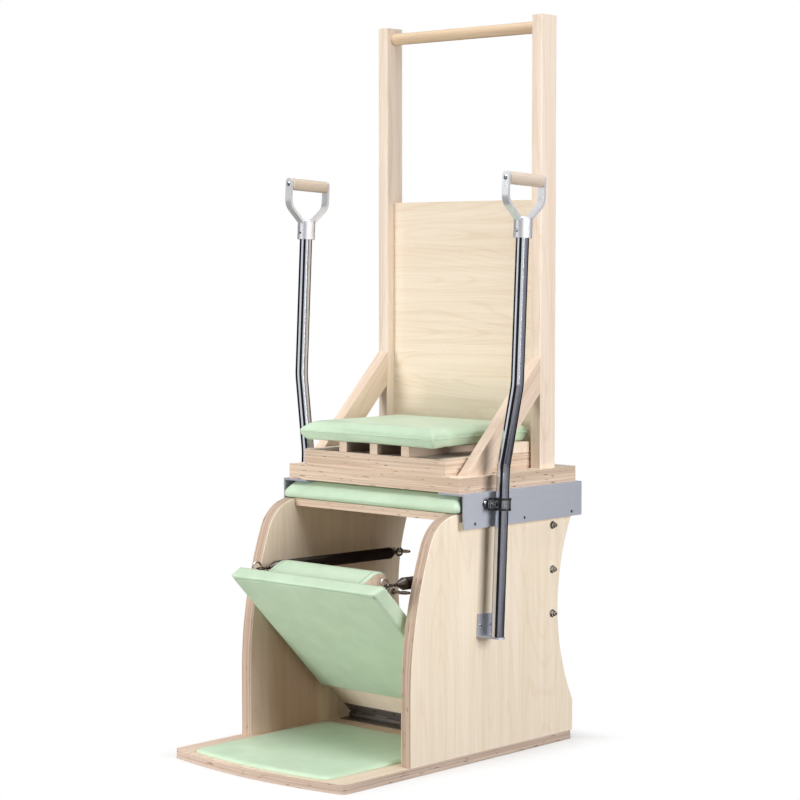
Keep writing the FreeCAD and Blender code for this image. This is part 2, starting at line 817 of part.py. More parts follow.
def flat_eye_shanks(extra=0.0):
    """The stretch of both pedal eyes inside the board."""
    centre = flat_eye_centre()
    start = V(centre.x, centre.y, pedal_board_high - eye_shank_depth - extra)
    return both_sides([rod(eye_shank_radius + extra, eye_shank_depth + extra, start, ALONG_Z)])


def pedal_eyes():
    """Two upright eyes near the free end."""
    centre = flat_eye_centre()
    foot = V(centre.x, centre.y, pedal_board_high)
    eye = ring(eye_ring_radius, eye_wire_radius, centre, ALONG_X)
    neck = rod(eye_shank_radius, eye_height - eye_ring_radius, foot, ALONG_Z)
    collar = rod(eye_collar_radius, eye_collar_height, foot, ALONG_Z)
    start = foot - ALONG_Z * eye_shank_depth
    shank = rod(eye_shank_radius, eye_shank_depth, start, ALONG_Z)
    return [on_pedal(piece) for piece in both_sides([eye.fuse([neck, collar, shank]).removeSplitter()])]


# Springs, made along -Y with the anchor ring's front wire at the origin

def spring_line():
    """Length and upward tilt of the line from the anchor to the hook in the pedal eye, at rest."""
    eye = Part.Vertex(flat_eye_centre())
    eye.rotate(ORIGIN, ALONG_X, -pedal_rest_angle)
    end_y = eye.Point.y + hinge_y + front_hook_rest_back
    end_z = eye.Point.z + hinge_z - front_hook_rest_drop
    run = anchor_y - anchor_ring_radius - end_y
    rise = end_z - spring_anchor_z
    return math.hypot(run, rise), math.degrees(math.atan2(rise, run))


def on_spring(shape):
    """Set a spring piece on the line from the right-hand anchor to the pedal eye."""
    placed = shape.copy()
    placed.rotate(ORIGIN, ALONG_X, -spring_line()[1])
    placed.translate(V(spring_x, anchor_y - anchor_ring_radius, spring_anchor_z))
    return placed


def hook_length(straight):
    """From the middle of the hook's far wire to the foot of its cap."""
    return 2 * hook_bend_radius + straight + hook_shank_length


def spring_hook(straight, across):
    """Open hook with a conical cap for the coil, its far wire at the origin and its shank along -Y."""
    near_y = -hook_bend_radius
    far_y = near_y - straight
    near = ring(hook_bend_radius, hook_wire_radius, V(0, near_y, 0), across).common(half_space(near_y, True))
    far = ring(hook_bend_radius, hook_wire_radius, V(0, far_y, 0), across).common(half_space(far_y, False))
    aside = across.cross(ALONG_Y)
    sides = [rod(hook_wire_radius, straight, V(0, far_y, 0) + aside * (hook_bend_radius * sign), ALONG_Y)
             for sign in (1, -1)]
    neck_y = far_y - hook_bend_radius
    shank = rod(hook_wire_radius, hook_shank_length, V(0, neck_y, 0), -ALONG_Y)
    cap_start = V(0, neck_y - hook_shank_length, 0)
    cone = Part.makeCone(spring_cap_neck_radius, spring_outer_radius, spring_cap_length, cap_start, -ALONG_Y)
    rim_start = cap_start - ALONG_Y * spring_cap_length
    rim = rod(spring_outer_radius, spring_cap_rim, rim_start, -ALONG_Y)
    body = near.fuse([far] + sides + [shank, cone, rim]).removeSplitter()
    mouth_y = far_y + (straight - hook_mouth) / 2
    reach = 2 * hook_wire_radius
    mouth = box(-reach, reach, mouth_y, mouth_y + hook_mouth, -reach, reach)
    mouth.translate(aside * hook_bend_radius)
    return body.cut(mouth)


def half_space(y, behind):
    """Large block that ends at a place along Y."""
    reach = 2 * (hook_bend_radius + hook_wire_radius)
    low, high = (y, y + reach) if behind else (y - reach, y)
    return box(-reach, reach, low, high, -reach, reach)


def coil_span():
    """Where the coil starts and ends along its line, between the rims of the two caps."""
    back = rear_hook_seat() - hook_length(rear_hook_straight)
    start = spring_cap_length + spring_cap_rim - back
    end = spring_line()[0] - hook_length(front_hook_straight) - spring_cap_length - spring_cap_rim
    return start, end


def rear_hook_seat():
    """How far the rear hook's far wire lies behind the middle of the anchor ring's front wire."""
    return anchor_wire_radius + rear_hook_play + hook_wire_radius


def biarc(first, first_way, last, last_way):
    """Two arcs that leave a point along one direction and reach another point along another."""
    chord = last - first
    ways = first_way + last_way
    bend = 2 * (1 - first_way.dot(last_way))
    along = chord.dot(ways)
    reach = (math.sqrt(along ** 2 + bend * chord.dot(chord)) - along) / bend
    knees = (first + first_way * reach, last - last_way * reach)
    joint = (knees[0] + knees[1]) * 0.5
    arcs = []
    for start, knee, end in ((first, knees[0], joint), (joint, knees[1], last)):
        middle = (start + end) * 0.5
        rise = knee - middle
        half_chord = start.distanceToPoint(middle)
        sagitta = half_chord * math.tan(math.atan2(rise.Length, half_chord) / 2)
        arcs.append(Part.Arc(start, middle + rise * (sagitta / rise.Length), end).toShape())
    return arcs


def coil_path():
    """The coil's middle line: straight ends, a quarter turn into the helix, and biarcs of half a turn."""
    start, end = coil_span()
    radius = spring_outer_radius - spring_wire_radius
    straight = 2 * spring_wire_radius
    run_in = spring_wire_radius + radius
    first = start + straight + run_in
    last = end - straight - run_in
    pitch = (last - first) / spring_turns
    climb = pitch / (2 * math.pi)

    def place(turns):
        angle = 2 * math.pi * turns
        return V(radius * math.sin(angle), -first - pitch * turns, radius * math.cos(angle))

    def way(turns):
        angle = 2 * math.pi * turns
        return V(radius * math.cos(angle), -climb, -radius * math.sin(angle)).normalize()

    quarter_share = 0.25
    root = place(-quarter_share)
    tip = place(spring_turns + quarter_share)
    points = [V(root.x, -start, root.z), V(root.x, -start - straight, root.z)]
    tail = [V(tip.x, straight - end, tip.z), V(tip.x, -end, tip.z)]
    edges = [Part.LineSegment(points[0], points[1]).toShape()]
    edges += biarc(points[1], -ALONG_Y, place(0), way(0))
    for half in range(2 * spring_turns):
        edges += biarc(place(half / 2), way(half / 2), place(half / 2 + 0.5), way(half / 2 + 0.5))
    edges += biarc(place(spring_turns), way(spring_turns), tail[0], -ALONG_Y)
    edges.append(Part.LineSegment(tail[0], tail[1]).toShape())
    return Part.Wire(edges)


def print_coil_gap(path):
    """Measure the least gap between stretches of the coil that are over half a turn apart."""
    step = spring_wire_radius
    points = path.discretize(Number=int(path.Length / step))
    apart = int(math.pi * spring_outer_radius / step)
    reach = 3 * apart
    least = min(points[index].distanceToPoint(points[other])
                for index in range(len(points))
                for other in range(index + apart, min(index + reach, len(points))))
    print("least gap of the coil to itself", round(least - 2 * spring_wire_radius, 2))


def spring_coil():
    """Coil as one unbroken tube."""
    path = coil_path()
    print_coil_gap(path)
    start = path.Edges[0].valueAt(path.Edges[0].FirstParameter)
    circle = Part.Wire([Part.makeCircle(spring_wire_radius, start, ALONG_Y)])
    shell = Part.BRepOffsetAPI.MakePipeShell(path)
    shell.add(circle)
    shell.build()
    shell.makeSolid()
    coil = shell.shape()
    section = math.pi * spring_wire_radius ** 2
    print("coil volume over its section times its length", round(coil.Volume / (section * path.Length), 4))
    return coil


def rear_hook():
    """Hook in the anchor's ring, its loop upright."""
    hook = spring_hook(rear_hook_straight, ALONG_X)
    hook.translate(ALONG_Y * rear_hook_seat())
    return hook


def front_hook():
    """Hook in the pedal eye, its loop flat."""
    hook = spring_hook(front_hook_straight, ALONG_Z)
    hook.rotate(ORIGIN, ALONG_Z, math.degrees(math.pi))
    hook.translate(-ALONG_Y * spring_line()[0])
    return hook


# Seat unit with its high back

def rail():
    """Right-hand aluminium angle: a web beside the panel and a flange under the deck."""
    web = box(rail_inner_x, rail_outer_x, rail_front_y, rail_rear_y, rail_low_z, deck_low_z)
    flange = box(rail_outer_x - rail_flange_width, rail_outer_x, rail_front_y, rail_rear_y,
                 deck_low_z - rail_thickness, deck_low_z)
    holes = rail_screws(fit_gap) + deck_screws(fit_gap) + [clamp_rail_bolt(fit_gap)]
    return drilled(web.fuse(flange).removeSplitter(), holes)


def rail_glide():
    """Right-hand glide strip between the web and the panel."""
    strip = box(rail_inner_x - glide_thickness, rail_inner_x, rail_front_y, rail_rear_y,
                rail_low_z, rail_low_z + glide_height)
    return drilled(strip, rail_screws(fit_gap))


def rail_screws(extra=0.0):
    """Right-hand screws that hold the glide to the web."""
    z = rail_low_z + rail_screw_height
    places = spread(rail_front_y + rail_screw_end_inset, rail_rear_y - rail_screw_end_inset, rail_screw_count)
    return [pan_screw(rail_screw, V(rail_outer_x, y, z), -ALONG_X, extra) for y in places]


def deck_screws(extra=0.0):
    """Right-hand screws up through the flange into the deck."""
    x = rail_outer_x - rail_flange_width / 2
    z = deck_low_z - rail_thickness + fit_gap - extra
    places = spread(rail_front_y + deck_screw_end_inset, rail_rear_y - deck_screw_end_inset, deck_screw_count)
    return [flat_screw(deck_screw, V(x, y, z), ALONG_Z, extra) for y in places]


def deck_board():
    """Thick plywood deck on the rails."""
    board = box(-deck_half_width, deck_half_width, deck_front_y, deck_rear_y, deck_low_z, deck_high_z)
    return drilled(softened(board, deck_corner_radius), both_sides(deck_screws(fit_gap)))


def seat_riser_board():
    """Plywood board that raises the seat, between the braces and up to the back panel."""
    return box(-riser_half_width, riser_half_width, riser_front_y, back_panel_front_y,
               deck_high_z, riser_high_z)


def seat_ribs():
    """Bars from front to back under the upper pad."""
    outermost = riser_half_width - rib_side_inset
    half = rib_width / 2
    return [box(x - half, x + half, rib_front_y, rear_rail_front_y, riser_high_z, upper_pad_low_z)
            for x in spread(-outermost, outermost, rib_count)]


def rear_seat_rail():
    """Cross bar behind the ribs."""
    return box(-riser_half_width, riser_half_width, rear_rail_front_y, post_front_y,
               riser_high_z, upper_pad_low_z)


def upper_seat_pad():
    """Box cushion with a seam at mid height and drawn-in sides."""
    return cushion(-upper_pad_half_width, upper_pad_half_width, riser_front_y - upper_pad_front_overhang,
                   back_panel_front_y - upper_pad_rear_gap, upper_pad_low_z, upper_pad_height,
                   upper_pad_shares, upper_pad_edge_inset, upper_pad_corner_radius, upper_pad_draw)


def post():
    """Right-hand post with a socket for the top bar."""
    top = deck_high_z + post_height
    column = box(post_inner_x, post_outer_x, post_front_y, post_rear_y, deck_high_z, top)
    return drilled(softened(column, post_edge_radius), [top_bar(fit_gap)])


def brace():
    """Right-hand slanted brace between the deck and the front of the post."""
    slope = math.tan(math.radians(brace_angle))
    foot = brace_depth / math.sin(math.radians(brace_angle))
    toe_y = post_front_y - brace_foot_setback
    heel_y = toe_y + foot
    outline = [V(post_inner_x, toe_y, deck_high_z), V(post_inner_x, heel_y, deck_high_z),
               V(post_inner_x, post_front_y, deck_high_z + (post_front_y - heel_y) * slope),
               V(post_inner_x, post_front_y, deck_high_z + brace_foot_setback * slope)]
    return prism(outline, ALONG_X * post_width)


def back_panel():
    """Veneered panel between the posts."""
    return box(-post_inner_x, post_inner_x, back_panel_front_y, back_panel_front_y + back_panel_thickness,
               deck_high_z, deck_high_z + back_panel_height)


def top_bar(extra=0.0):
    """Round bar between the tops of the posts, with a tenon in each."""
    z = deck_high_z + post_height - top_bar_below_top
    y = post_front_y + post_depth / 2
    reach = post_inner_x + top_bar_tenon_length + extra
    tenon = rod(top_bar_tenon_radius + extra, 2 * reach, V(-reach, y, z), ALONG_X)
    if extra:
        return tenon
    return tenon.fuse(rod(top_bar_radius, 2 * post_inner_x, V(-post_inner_x, y, z), ALONG_X)).removeSplitter()


# Handle poles, made upright with the foot at the origin, the outward side to +X

def on_pole(shape):
    """Lean a pole piece back and set it on its foot on the right-hand side."""
    placed = shape.copy()
    placed.rotate(ORIGIN, ALONG_X, -pole_lean)
    placed.translate(pole_foot)
    return placed


def pole_path(low, high):
    """Middle line of the pole: it bends outwards and back to upright."""
    sway = math.atan2(pole_upper_outset, pole_bend_end - pole_bend_start)
    cut = pole_bend_radius * math.tan(sway / 2)
    aslant = V(math.sin(sway), 0, math.cos(sway))
    knees = (V(0, 0, pole_bend_start), V(pole_upper_outset, 0, pole_bend_end))
    sag = pole_bend_radius * (1 / math.cos(sway / 2) - 1)
    inward = V(math.cos(sway / 2), 0, -math.sin(sway / 2))
    stops = (knees[0] - ALONG_Z * cut, knees[0] + aslant * cut,
             knees[1] - aslant * cut, knees[1] + ALONG_Z * cut)
    edges = [Part.LineSegment(V(0, 0, low), stops[0]),
             Part.Arc(stops[0], knees[0] + inward * sag, stops[1]),
             Part.LineSegment(stops[1], stops[2]),
             Part.Arc(stops[2], knees[1] - inward * sag, stops[3]),
             Part.LineSegment(stops[3], V(pole_upper_outset, 0, high))]
    return Part.Wire([edge.toShape() for edge in edges])


def swept(radius, low, high):
    """Round bar along the pole's line."""
    circle = Part.Wire([Part.makeCircle(radius, V(0, 0, low), ALONG_Z)])
    return pole_path(low, high).makePipeShell([circle], True, False)


def pole_tube():
    """Bent tube, open at its foot, with rivet holes at its top."""
    outer = swept(pole_radius, 0, pole_length)
    inner = swept(pole_radius - pole_wall, -cut_overrun, pole_length + cut_overrun)
    return outer.cut(Part.makeCompound([inner] + rivets(fit_gap)))


def socket_low():
    """Height of the socket's foot on the pole."""
    return pole_length - socket_overlap


def rivets(extra=0.0):
    """Two rivets that hold the socket on the tube."""
    z = socket_low() + socket_overlap / 2
    depth = socket_radius - pole_radius + pole_wall
    pins = []
    for side in (-ALONG_Y, ALONG_Y):
        face = V(pole_upper_outset, 0, z) + side * socket_radius
        if extra:
            pins.append(rod(rivet_radius + extra, depth + 2 * cut_overrun, face + side * cut_overrun, -side))
        else:
            head = Part.makeCone(rivet_head_radius, rivet_radius, rivet_head_height, face, side)
            pins.append(head.fuse(rod(rivet_radius, depth, face, -side)).removeSplitter())
    return pins


def yoke_bend_z():
    """Height where the yoke's arms start to bend inwards."""
    return socket_low() + socket_length + yoke_web_drop


def grip_centre():
    """Middle of the grip."""
    return V(pole_upper_outset, 0, yoke_bend_z() + yoke_arm_straight)


def yoke_strap():
    """Fore-and-aft strap of the D-handle: straight arms, bends, and slanted roots swept onto the socket."""
    centre = grip_centre()
    x = centre.x - yoke_width / 2
    top = centre.z + yoke_arm_above_grip
    bend_z = yoke_bend_z()
    web_z = bend_z - yoke_web_drop
    inner = yoke_bend_radius
    outer = inner + yoke_thickness
    bend_y = yoke_span / 2 - outer
    turn = math.radians(yoke_bend_angle)

    def bend(radius, angle):
        return V(x, bend_y + radius * math.cos(angle), bend_z - radius * math.sin(angle))

    root_y = math.sqrt(socket_radius ** 2 - (yoke_width / 2) ** 2)
    blend_y = root_y + yoke_blend_radius
    slant = bend(outer, turn)
    slant_drop = (slant.y - blend_y + yoke_blend_radius * math.cos(turn)) / math.tan(turn)
    blend_z = slant.z - slant_drop - yoke_blend_radius * math.sin(turn)

    def blend(angle):
        return V(x, blend_y - yoke_blend_radius * math.cos(angle),
                 blend_z + yoke_blend_radius * math.sin(angle))

    inner_slant = bend(inner, turn)
    web_end = V(x, inner_slant.y - (inner_slant.z - web_z) * math.tan(turn), web_z)
    low_middle = V(x, 0, blend_z)
    web_middle = V(x, 0, web_z)
    outer_top = V(x, bend_y + outer, top)
    inner_top = V(x, bend_y + inner, top)
    edges = [Part.LineSegment(outer_top, bend(outer, 0)),
             Part.Arc(bend(outer, 0), bend(outer, turn / 2), slant),
             Part.LineSegment(slant, blend(turn)),
             Part.Arc(blend(turn), blend(turn / 2), blend(0)),
             Part.LineSegment(blend(0), low_middle),
             Part.LineSegment(low_middle, web_middle),
             Part.LineSegment(web_middle, web_end),
             Part.LineSegment(web_end, inner_slant),
             Part.Arc(inner_slant, bend(inner, turn / 2), bend(inner, 0)),
             Part.LineSegment(bend(inner, 0), inner_top),
             Part.LineSegment(inner_top, outer_top)]
    half = Part.Face(Part.Wire([edge.toShape() for edge in edges])).extrude(ALONG_X * yoke_width)
    strap = half.fuse(half.mirror(ORIGIN, ALONG_Y)).removeSplitter()
    at_top = [edge for edge in strap.Edges if abs(edge.CenterOfMass.z - top) < tiny]
    ends = [edge for edge in at_top if abs(edge.tangentAt(edge.FirstParameter).y) > 1 - tiny]
    return strap.makeFillet(yoke_width / 2 - tiny, ends)


def handle_yoke():
    """Socket with a rounded crown and the strap of a D-handle in one casting."""
    start = V(pole_upper_outset, 0, socket_low())
    socket = rod(socket_radius, socket_length, start, ALONG_Z)
    crown_z = start.z + socket_length
    rim = [edge for edge in socket.Edges if edge.Closed and edge.CenterOfMass.z > crown_z - tiny]
    socket = socket.makeFillet(yoke_crown_radius, rim)
    bore = rod(pole_radius + fit_gap, socket_overlap + fit_gap, start, ALONG_Z)
    hole_start = V(pole_upper_outset, -yoke_span, grip_centre().z)
    hole = rod(handle_bolt_radius + fit_gap, 2 * yoke_span, hole_start, ALONG_Y)
    casting = socket.fuse(yoke_strap()).removeSplitter()
    return drilled(casting, [bore, hole] + rivets(fit_gap))


def handle_grip():
    """Turned wooden grip between the arms, with a bore for its bolt."""
    centre = grip_centre()
    length = yoke_span - 2 * (yoke_thickness + grip_end_gap)
    start = V(centre.x, -length / 2, centre.z)
    grip = rod(grip_radius, length, start, ALONG_Y)
    grip = grip.makeFillet(grip_edge_radius, [edge for edge in grip.Edges if edge.Closed])
    return grip.cut(rod(handle_bolt_radius + fit_gap, length, start, ALONG_Y))


def handle_bolts():
    """Bolt through the grip with a socket dome head at each arm, and the rivets of the socket."""
    centre = grip_centre()
    face = yoke_span / 2
    bolt = rod(handle_bolt_radius, yoke_span, centre - ALONG_Y * face, ALONG_Y)
    heads = []
    keys = []
    for way in (-ALONG_Y, ALONG_Y):
        crown = centre + way * (face + handle_bolt_head_height)
        heads.append(dome(handle_bolt_head_radius, handle_bolt_head_height, centre + way * face, way))
        keys.append(rod(handle_bolt_socket_radius, handle_bolt_socket_depth, crown, -way))
    return [drilled(bolt.fuse(heads).removeSplitter(), keys)] + rivets()


def bracket_shelf(z):
    """Outline of the shelf: as wide as the plate, and narrowing to a round end under the tube."""
    plate_x = panel_outer_x - pole_x
    corner = math.atan2(bracket_half_width, plate_x)
    turn = corner - math.acos(bracket_shelf_radius / math.hypot(plate_x, bracket_half_width))
    touch = V(bracket_shelf_radius * math.cos(turn), bracket_shelf_radius * math.sin(turn), z)
    other = V(touch.x, -touch.y, z)
    corners = [V(plate_x, -bracket_half_width, z), V(plate_x, bracket_half_width, z)]
    sides = Part.makePolygon([other] + corners + [touch])
    return Part.Wire([Part.Arc(touch, V(bracket_shelf_radius, 0, z), other).toShape()] + sides.Edges)


def pole_bracket():
    """Angle under the pole: a plate on the panel, a shelf and a spigot inside the tube."""
    plate_x = panel_outer_x - pole_x
    low = -bracket_thickness - fit_gap
    plate = box(plate_x, plate_x + bracket_thickness, -bracket_half_width, bracket_half_width,
                low, bracket_plate_height)
    shelf = Part.Face(bracket_shelf(low)).extrude(ALONG_Z * bracket_thickness)
    spigot = rod(bracket_spigot_radius, bracket_spigot_height, V(0, 0, -fit_gap), ALONG_Z)
    bracket = on_pole(plate.fuse([shelf, spigot]).removeSplitter())
    return drilled(bracket, bracket_screws(fit_gap))


def bracket_screws(extra=0.0):
    """Right-hand screws of the bracket's plate."""
    x = panel_outer_x - pole_x + bracket_thickness
    screws = [pan_screw(bracket_screw, V(x, y, bracket_screw_height), -ALONG_X, extra)
              for y in (-bracket_screw_spread, bracket_screw_spread)]
    return [on_pole(screw) for screw in screws]


def clamp_saddle_x():
    """The rail's outer face, seen from the pole's own line."""
    return rail_outer_x - pole_x


def clamp_ring(low, height, proud):
    """Solid form of the clamp's round and its two ears, proud of the band by an amount."""
    reach = clamp_ear_gap / 2 + clamp_band_thickness + proud
    ears = box(-clamp_ear_inset - reach, reach - clamp_ear_inset, clamp_ear_end(), 0, low, low + height)
    return rod(band_outer_radius + proud, height, V(0, 0, low), ALONG_Z).fuse(ears)


def clamp_ear_end():
    """Where the ears end in front of the pole."""
    return -band_outer_radius - clamp_ear_length


def clamp_band():
    """Steel band round the liner, with two ears, a saddle and a round-toed foot on the rail."""
    z = clamp_height_on_pole
    low = z - clamp_band_height / 2
    high = z + clamp_band_height / 2
    start = V(0, 0, low)
    ear_mid = -clamp_ear_inset
    foot_x = clamp_saddle_x()
    foot = box(foot_x, foot_x + clamp_foot_thickness, -clamp_bolt_forward, clamp_saddle_half_width, low, high)
    toe = rod(clamp_band_height / 2, clamp_foot_thickness, V(foot_x, -clamp_bolt_forward, z), ALONG_X)
    saddle = box(foot_x, -band_inner_radius, -clamp_saddle_half_width, clamp_saddle_half_width, low, high)
    slit = box(ear_mid - clamp_ear_gap / 2, ear_mid + clamp_ear_gap / 2, clamp_ear_end() - cut_overrun, 0,
               low, high)
    bore = rod(band_inner_radius, clamp_band_height, start, ALONG_Z)
    hoop = clamp_ring(low, clamp_band_height, 0)
    body = hoop.fuse([foot, toe, saddle]).removeSplitter().cut(Part.makeCompound([bore, slit]))
    return on_pole(body).cut(Part.makeCompound([clamp_rail_bolt(fit_gap), clamp_ear_bolt(fit_gap)]))


def clamp_liner():
    """Rubber liner inside the band, with a lip along its upper and lower edges."""
    z = clamp_height_on_pole
    half = clamp_band_height / 2
    start = V(0, 0, z - half - clamp_lip)
    sleeve = rod(band_inner_radius, 2 * (half + clamp_lip), start, ALONG_Z)
    lips = [clamp_ring(foot, clamp_lip, clamp_lip_proud) for foot in (start.z, z + half)]
    bore = rod(liner_inner_radius, 2 * (half + clamp_lip), start, ALONG_Z)
    return on_pole(sleeve.fuse(lips).removeSplitter().cut(bore))


def clamp_rail_bolt(extra=0.0):
    """Dome-head bolt that holds the clamp's foot on the rail."""
    face = V(clamp_saddle_x() + clamp_foot_thickness, -clamp_bolt_forward, clamp_height_on_pole)
    length = clamp_foot_thickness + rail_thickness
    shank = rod(clamp_bolt_radius + extra, length + extra, face, -ALONG_X)
    if extra:
        return on_pole(shank)
    return on_pole(shank.fuse(dome(clamp_dome_radius, clamp_dome_height, face, ALONG_X)).removeSplitter())


def clamp_ear_bolt(extra=0.0):
    """Screw through both ears, with its head outside and a nut inside."""
    half = clamp_ear_gap / 2 + clamp_band_thickness
    y = -band_outer_radius - clamp_ear_length / 2
    face = V(half - clamp_ear_inset, y, clamp_height_on_pole)
    length = 2 * half + clamp_ear_head_height
    shank = rod(clamp_ear_bolt_radius + extra, length, face, -ALONG_X)
    if extra:
        return on_pole(shank)
    head = rod(clamp_ear_head_radius, clamp_ear_head_height, face, ALONG_X)
    nut_place = face - ALONG_X * length
    nut = hexagon(2 * clamp_ear_head_radius, clamp_ear_head_height, nut_place, 0)
    return on_pole(shank.fuse([head, nut]).removeSplitter())


def make_lower_chair():
    """Nodes of the fixed frame."""
    save("base_board", base_board())
    panel = side_panel()
    save("right_side_panel", panel)
    save("left_side_panel", mirrored(panel))
    save("base_screws", both_sides(base_screws()))
    save("seat_board", seat_board())
    save("seat_board_dowels", both_sides(seat_dowels()))
    save("lower_seat_pad", lower_seat_pad())
    save("floor_pad", floor_pad())
    save("hinge_base_leaf", on_base(hinge_leaf(0)))
    save("hinge_pin", hinge_pin())
    save("hinge_base_screws", hinge_base_screws())
    anchors = spring_anchors()
    save("right_spring_anchors", anchors)
    save("left_spring_anchors", [mirrored(anchor) for anchor in anchors])
    save("anchor_washers", both_sides(anchor_washers()))
    save("anchor_nuts", both_sides(anchor_nuts()))
    bracket = pole_bracket()
    save("right_pole_bracket", bracket)
    save("left_pole_bracket", mirrored(bracket))
    save("bracket_screws", both_sides(bracket_screws()))


def make_pedal():
    """Nodes that swing with the pedal."""
    save("pedal_board", on_pedal(pedal_board()))
    save("pedal_pad", on_pedal(pedal_pad()))
    save("foot_bar_core", on_pedal(foot_bar_core()))
    save("foot_bar_cover", on_pedal(foot_bar_cover()))
    save("foot_bar_screws", [on_pedal(screw) for screw in flat_foot_bar_screws()])
    save("hinge_pedal_leaf", on_pedal(hinge_leaf(1)))
    save("hinge_pedal_screws", [on_pedal(screw) for screw in flat_hinge_screws()])
    save("pedal_eyes", pedal_eyes())


def make_springs():
    """Nodes of the two springs."""
    pieces = {"spring": spring_coil(), "spring_rear_hook": rear_hook(), "spring_front_hook": front_hook()}
    for name, piece in pieces.items():
        right = on_spring(piece)
        left = right.copy()
        left.translate(ALONG_X * (-2 * spring_x))
        save("right_" + name, right)
        save("left_" + name, left)


def make_seat_unit():
    """Nodes of the seat unit with its high back."""
    for name, piece in (("rail", rail()), ("post", post()), ("brace", brace()), ("clamp_band", clamp_band())):
        save("right_" + name, piece)
        save("left_" + name, mirrored(piece))
    save("rail_glides", both_sides([rail_glide()]))
    save("rail_screws", both_sides(rail_screws()))
    save("deck_board", deck_board())
    save("deck_screws", both_sides(deck_screws()))
    save("seat_riser_board", seat_riser_board())
    save("seat_ribs", seat_ribs())
    save("rear_seat_rail", rear_seat_rail())
    save("upper_seat_pad", upper_seat_pad())
    save("back_panel", back_panel())
    save("top_bar", top_bar())
    save("clamp_liners", both_sides([clamp_liner()]))
    save("clamp_bolts", both_sides([clamp_rail_bolt(), clamp_ear_bolt()]))


def make_poles():
    """Nodes of the two handle poles."""
    groups = {"pole_tube": [pole_tube()], "handle_yoke": [handle_yoke()],
              "handle_grip": [handle_grip()], "handle_bolts": handle_bolts()}
    for name, pieces in groups.items():
        right = [on_pole(piece) for piece in pieces]
        save("right_" + name, right)
        save("left_" + name, [mirrored(piece) for piece in right])


os.makedirs("parts", exist_ok=True)
make_lower_chair()
make_pedal()
make_springs()
make_seat_unit()
make_poles()
length, tilt = spring_line()
print("spring line", round(length, 3), "tilt", round(tilt, 4))
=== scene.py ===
"""Looks of a pilates chair: padded seats, pedal and floor pad, close-wound springs, and every part's finish.

Metres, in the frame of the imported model: +Z up, -Y to the front, +X to the right as seen from the front.
"""
import bpy
import json
import math
import numpy as np
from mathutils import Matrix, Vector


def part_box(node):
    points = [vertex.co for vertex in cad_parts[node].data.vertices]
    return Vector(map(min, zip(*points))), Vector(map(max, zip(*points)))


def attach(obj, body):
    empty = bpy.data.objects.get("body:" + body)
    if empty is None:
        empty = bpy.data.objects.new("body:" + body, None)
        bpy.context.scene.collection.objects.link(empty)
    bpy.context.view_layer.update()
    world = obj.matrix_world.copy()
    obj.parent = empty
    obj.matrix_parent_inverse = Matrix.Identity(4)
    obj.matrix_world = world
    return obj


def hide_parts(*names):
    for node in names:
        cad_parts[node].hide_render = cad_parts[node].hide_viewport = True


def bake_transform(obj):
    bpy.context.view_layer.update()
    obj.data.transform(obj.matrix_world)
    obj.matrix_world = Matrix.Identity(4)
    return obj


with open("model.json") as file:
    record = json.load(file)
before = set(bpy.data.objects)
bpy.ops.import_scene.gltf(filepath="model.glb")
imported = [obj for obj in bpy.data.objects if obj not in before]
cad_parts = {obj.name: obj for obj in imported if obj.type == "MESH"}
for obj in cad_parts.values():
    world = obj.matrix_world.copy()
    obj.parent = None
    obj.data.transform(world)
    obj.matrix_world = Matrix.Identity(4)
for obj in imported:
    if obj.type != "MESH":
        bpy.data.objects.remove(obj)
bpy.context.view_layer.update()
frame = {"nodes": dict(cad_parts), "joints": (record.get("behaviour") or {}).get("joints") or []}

# The photograph's view
image_size = 800
focal_pixels = 2255.67
sensor_width = 36.0
camera_place = (3.7695, -3.9906, 1.2092)
camera_turn = 42.715
camera_drop = 3.653

# Pedal, in its own flat frame: x across, s from the hinge pin to the free end, n from the face to the back
pedal_rest_angle = 45.0
pedal_length = 0.585
pedal_face = -0.0136
pedal_board_low = 0.0069
pedal_board_high = 0.0249
pedal_end_slope = 0.0155
pedal_half_width = 0.243
pedal_face_inset = 0.004
pedal_pad_start = 0.138
pedal_crown = 0.0012
pedal_edge_radius = 0.008
pedal_corner_radius = 0.008
pedal_least_corner = 0.003
pedal_skin = 0.0018
pedal_rim_gap = 0.0004

# Fold in the pedal's vinyl along the free end, dented, and painted darker as shade;
# its waves are sizes, rates and starts of sines
pedal_fold_inset = 0.0085
pedal_fold_bow = 0.008
pedal_fold_waver = 0.0006
pedal_fold_width = 0.0016
pedal_fold_depth = 0.0017
pedal_fold_shade = 0.5
pedal_fold_waves = ((1.0, 41, 0.6), (0.7, 97, 2.1), (0.4, 173, 0.0))

# Foot bar on the pedal
foot_bar_half_length = 0.160
foot_bar_foot_width = 0.110
foot_bar_shoulder_width = 0.073
foot_bar_shoulder_height = 0.051
foot_bar_height = 0.075
foot_bar_end_setback = 0.010
foot_bar_skin = 0.0045
foot_bar_seam_inset = 0.013
foot_bar_seam_width = 0.0016
foot_bar_seam_depth = 0.0013
foot_bar_seam_zone = 0.006
foot_bar_seam_shade = 0.7
foot_bar_end_width = 0.003
foot_bar_end_depth = 0.002
# Painted shadow along the cover's foot, where it meets the pedal: its width, then its strength
foot_bar_foot_line = 0.004
foot_bar_foot_shade = 0.8

# Floor pad; its border runs down the bevel by shares of the thickness, with insets in bevel widths
floor_pad_front_margin = 0.017
floor_pad_corner = 0.03
floor_pad_crown = 0.0008
floor_pad_bevel = 0.007
floor_pad_border = ((0.1, 1.6), (0.14, 1.3), (0.2, 1.0), (0.3, 0.7), (0.42, 0.42),
                    (0.58, 0.18), (0.76, 0.04), (0.92, 0.0), (1.0, 0.05))
base_front_bow = 0.032

# Stuffing of the seat pads
pad_pressure = 4.0
pad_stretch_stiffness = 12.0
pad_bend_stiffness = 0.3
pad_frames = 20
lower_pad_voxel = 0.006
lower_pad_swell = 0.004
upper_pad_voxel = 0.0045
upper_pad_swell = 0.005

